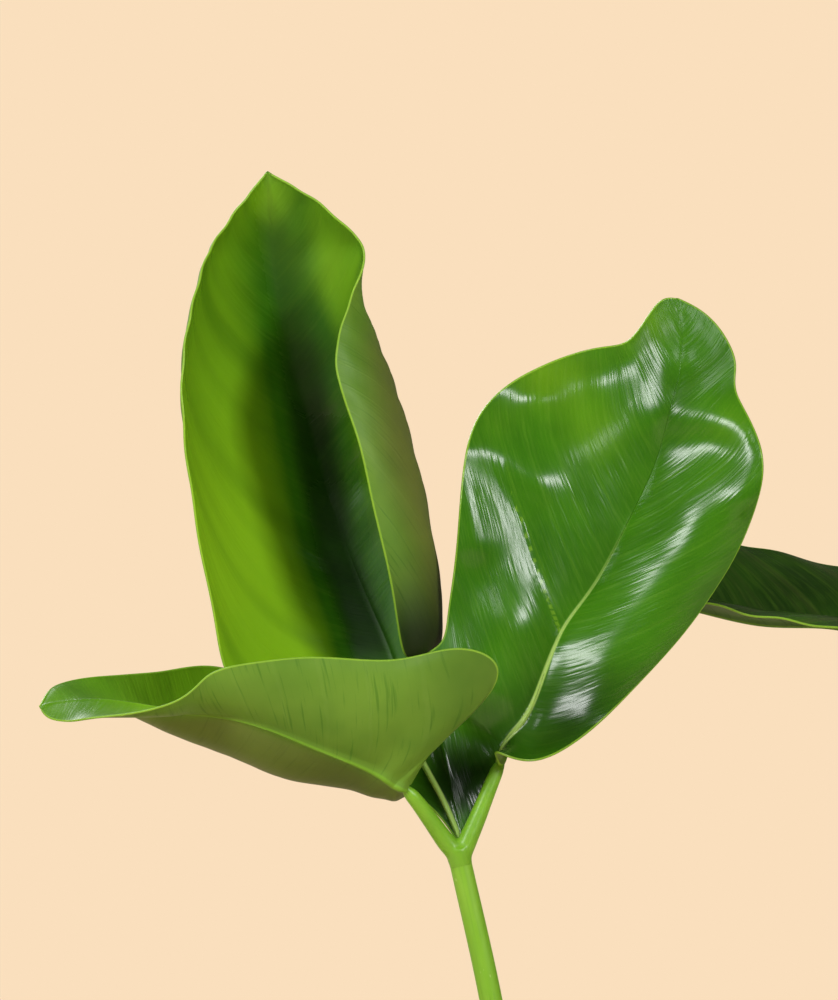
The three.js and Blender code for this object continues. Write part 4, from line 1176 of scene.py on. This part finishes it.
def tones_of(points, of_left):
    """The tall leaf's tones at each point. Upper face: how far the second rib is, how far painted shade
    darkens the green and painted light brightens it (the left leaflet is only made lighter, most towards its
    tip), and how satiny.
    Underside: how much brownish painted shade and how much painted shade lie on it, then 0."""
    view = as_seen(points)
    across, up = view[:, 0], view[:, 1]
    rib, share = to_line(view[:, :2], SECOND_RIB)
    rib = rib + 3 * step_up(share, 0.45, 1.0) + 9 * (across < MIDDLE_ENDS)
    # Spots of painted shade and painted light, and the middle leaflet's painted trough shade and painted
    # light.
    spots = sum(painted_shading * np.exp(-np.hypot(across - x, up - y) ** 2 / reach ** 2) for x, y, reach, painted_shading in PAINTED_SHADING_SPOTS)
    depth, satin = middle_painted_shading_and_satin(across, up)
    left_depth = -0.3 - 0.3 * step_up(across, -82, -60)

    off_roll = across - np.interp(up, ROLL_UP, ROLL_ACROSS)
    # Brownish painted shade on the rolled half's outer part, and painted shade at its foot.
    brownish_painted_shade = 0.75 * step_up(off_roll, 2, 12) * (across < MIDDLE_ENDS)
    shade = 0.95 * (1 - step_up(up, 44, 68)) * step_up(off_roll, -6, 2) * (across < MIDDLE_ENDS)
    # The left leaflet's underside gets brownish painted shade below its keel, and painted shade there and
    # towards the fork.
    under_keel = step_up(np.interp(across, KEEL_ACROSS, KEEL_UP) - up, -1, 2)
    left_shade = 0.3 * step_up(across, -16, 8) + 0.25 * under_keel * step_up(across, -50, -20)
    return {
        "tones": np.column_stack([
            rib, np.where(of_left, left_depth, spots + depth), np.where(of_left, 0.45, satin)]),
        "back_painted_shade": np.column_stack([
            np.where(of_left, 0.5 * under_keel, brownish_painted_shade), np.where(of_left, left_shade, shade), 0 * rib]),
    }


young_blade = blade_finishes("young_blade", "#3f7a0f", "#30660c", "#6a912c", "#7fb52a", toned=True)
left_blade = thicken([left_sheet], LEFT_RIDGE, reliefs=[fine_waves], lean=0.35)
tall_blade = join([
    tall_fork,
    thicken([middle_sheet, right_sheet], HERO_RIDGE, HERO_RIDGE_START, sewn_rows, [soft_bands, fine_waves]),
    left_blade,
])
count = len(tall_blade[0])
of_left = np.arange(count) >= count - len(left_blade[0])
blade_piece("leaf1_leaflets", tall_blade, young_blade, "young_leaf", "leaf1_blade",
            tones_of(tall_blade[0], of_left))

# The newest leaf is still rolled up to a spear, soft and pale. It rises from the papery sheath that it grew
# in, which splits down one side and dries out.

SPEAR = [(1, 1, 116), (2.4, 2.4, 146), (5, 4.5, 176), (9, 7, 204)]
SPEAR_TURNS, SPEAR_TWIST, SPEAR_TIGHTENING = 1.7, 0.5, 0.32
SPEAR_RIDGE, SHEATH_RIDGE = 0.3, 0.4


def spear_radius(share):
    return 0.8 + 3 * math.sin(math.pi * (0.35 + 0.65 * share))


def smooth_blade(vein, rib, edge):
    return 0 * vein


centres, run = path_through(SPEAR, 110)
rolled = []
for centre, forward, share in zip(centres, unit(np.gradient(centres, axis=0)), run / run[-1]):
    side = unit(np.cross([0.2, 1, 0], forward))
    other = np.cross(forward, side)
    turns = np.linspace(-SPEAR_TURNS / 2, SPEAR_TURNS / 2, 61)
    angle = 2 * np.pi * (turns + share * SPEAR_TWIST)
    tightness = 1 - SPEAR_TIGHTENING * (turns + SPEAR_TURNS / 2) / SPEAR_TURNS
    reach = np.maximum(spear_radius(share) * tightness - THICK_MIDDLE, 0.25)
    rolled.append(centre + (np.outer(np.cos(angle), side) + np.outer(np.sin(angle), other)) * reach[:, None])
rolled_blade = thicken([np.array(rolled)[:, ::-1]], SPEAR_RIDGE, reliefs=[smooth_blade])
new_blade = blade_finishes("new_blade", "#8dbb3a", "#74a52c", "#9cc24f", "#b4d06b")
blade_piece("rolled_leaf", rolled_blade, new_blade[:2], "young_leaf", "new_leaf")

SHEATH_FACING, SHEATH_HEIGHT, SHEATH_RADIUS, SHEATH_FLARE, SHEATH_WRAP = 40, 62, 6.2, 2.4, 96
SHEATH_FOOT, SHEATH_LEAN = np.array([1.2, 1.2, STEM_TOP + 1.4]), 1.5
sheath_ribs = []
for t in np.linspace(0, 1, 6):
    centre = SHEATH_FOOT + t * np.array([SHEATH_LEAN, SHEATH_LEAN, SHEATH_HEIGHT])
    radius = SHEATH_RADIUS + SHEATH_FLARE * t
    wrap = max(SHEATH_WRAP * (1 - t ** 3), 3)
    at = [centre + heading_vector(SHEATH_FACING + turn, 0) * radius for turn in (0, wrap, -wrap)]
    bow = radius * (1 - math.cos(math.radians(wrap / 2)))
    sheath_ribs.append((at[0], at[1], bow, at[2], bow))

dry = Finish("dry_sheath")
dry_place = dry.place()
dry_height = dry.parts(dry_place)[2]
vein, rib, edge = dry.kept("veins")
thread = dry.grain(dry.joined(rib, edge * 0.2, vein * 0.03), 0.5, detail=4.0)
stain = dry.grain(dry_place, 9, detail=5.0)
withered = dry_height.rise(150, 184) + edge.fall(0, 2.5) * 0.7
dry_colour = dry.mix(thread.rise(0.35, 0.7), "#9aa05a", "#c9c48b")
dry_colour = dry.mix(stain.rise(0.48, 0.68) * 0.7, dry_colour, "#a98c55")
dry_colour = dry.mix((withered * 0.8).rise(0, 1), dry_colour, "#a07f4c")
sheath_skin = dry.surface({
    "Base Color": dry_colour,
    "Roughness": 0.55 + thread * 0.25,
    **sap(0.2, (1.0, 0.8, 0.4), 0.8),
    "Normal": dry.bump(thread * 0.12 + stain * 0.3),
})


def crumpled_edge(vein, rib, edge):
    return 0.25 * np.sin(vein / 3.1) * (1 - step_up(edge, 0, 5))


sheath_blade = thicken([sheet(sheath_ribs, 16, 20)], SHEATH_RIDGE, reliefs=[crumpled_edge])
blade_piece("sheath_skin", sheath_blade, [sheath_skin, sheath_skin], "dry_sheath", "sheath")

# The studio: a pale floor that fades into a plain backdrop of the same colour, and soft boxes for light.

BACKDROP = "#fadfbd"
FLOOR_REACH = 3.0

bpy.ops.mesh.primitive_circle_add(vertices=96, radius=FLOOR_REACH, fill_type="NGON")
floor = bpy.context.object
floor.name = "studio_floor"
paper = Finish("studio_paper")
paper_place = paper.place()
far = paper.node("VectorMath", {"operation": "LENGTH"}, {0: paper_place}, output="Value")
matt = paper.node("BsdfDiffuse", inputs={"Color": BACKDROP})
clear = paper.node("BsdfTransparent")
paper_shader = paper.node("MixShader", inputs={0: far.rise(900, 2700), 1: matt, 2: clear})
paper.node("OutputMaterial", inputs={"Surface": paper_shader})
floor.data.materials.append(paper.owner)

room = Finish("studio", bpy.data.worlds)
bpy.context.scene.world = room.owner
looked_at = room.node("LightPath", output="Is Camera Ray")
felt = room.node("Background", inputs={"Color": "#f2e6d6", "Strength": 0.12})
seen = room.node("Background", inputs={"Color": BACKDROP, "Strength": 1.0})
either = room.node("MixShader", inputs={0: looked_at, 1: felt, 2: seen})
room.node("OutputWorld", inputs={"Surface": either})


LIGHTS_AIM = Vector((-0.04, -0.01, 0.38))


def softbox(name, place, size, watts):
    light = bpy.data.lights.new(name, "AREA")
    light.shape = "SQUARE"
    light.size = size
    light.energy = watts
    lamp = bpy.data.objects.new(name, light)
    lamp.location = place
    lamp.rotation_mode = "QUATERNION"
    lamp.rotation_quaternion = (LIGHTS_AIM - Vector(place)).to_track_quat("-Z", "Y")
    bpy.context.scene.collection.objects.link(lamp)


softbox("left_softbox", (-1.0, -1.0, 1.0), 0.42, 15)
softbox("right_softbox", (0.95, -1.0, 1.0), 0.36, 12)
softbox("front_softbox", (0.0, -1.3, 1.3), 0.36, 2.5)
softbox("back_softbox", (-0.9, 1.2, 1.3), 0.9, 16)

# The camera is 1.2 m in front of the tall leaf's fork, where a metre fills 4600 pixels of a picture that is
# 1000 pixels high.
CAMERA_PLACE = (-0.0483, -1.215, 0.405)
SENSOR, FORK_DISTANCE, PIXELS_PER_METRE, PICTURE_HEIGHT = 36, 1.2, 4600, 1000
camera_data = bpy.data.cameras.new("camera")
camera_data.sensor_width = SENSOR
camera_data.lens = SENSOR * FORK_DISTANCE * PIXELS_PER_METRE / PICTURE_HEIGHT
camera = bpy.data.objects.new("camera", camera_data)
camera.location = CAMERA_PLACE
camera.rotation_euler = (math.radians(90), 0, 0)
bpy.context.scene.collection.objects.link(camera)
bpy.context.scene.camera = camera
bpy.context.scene.view_settings.view_transform = "Standard"
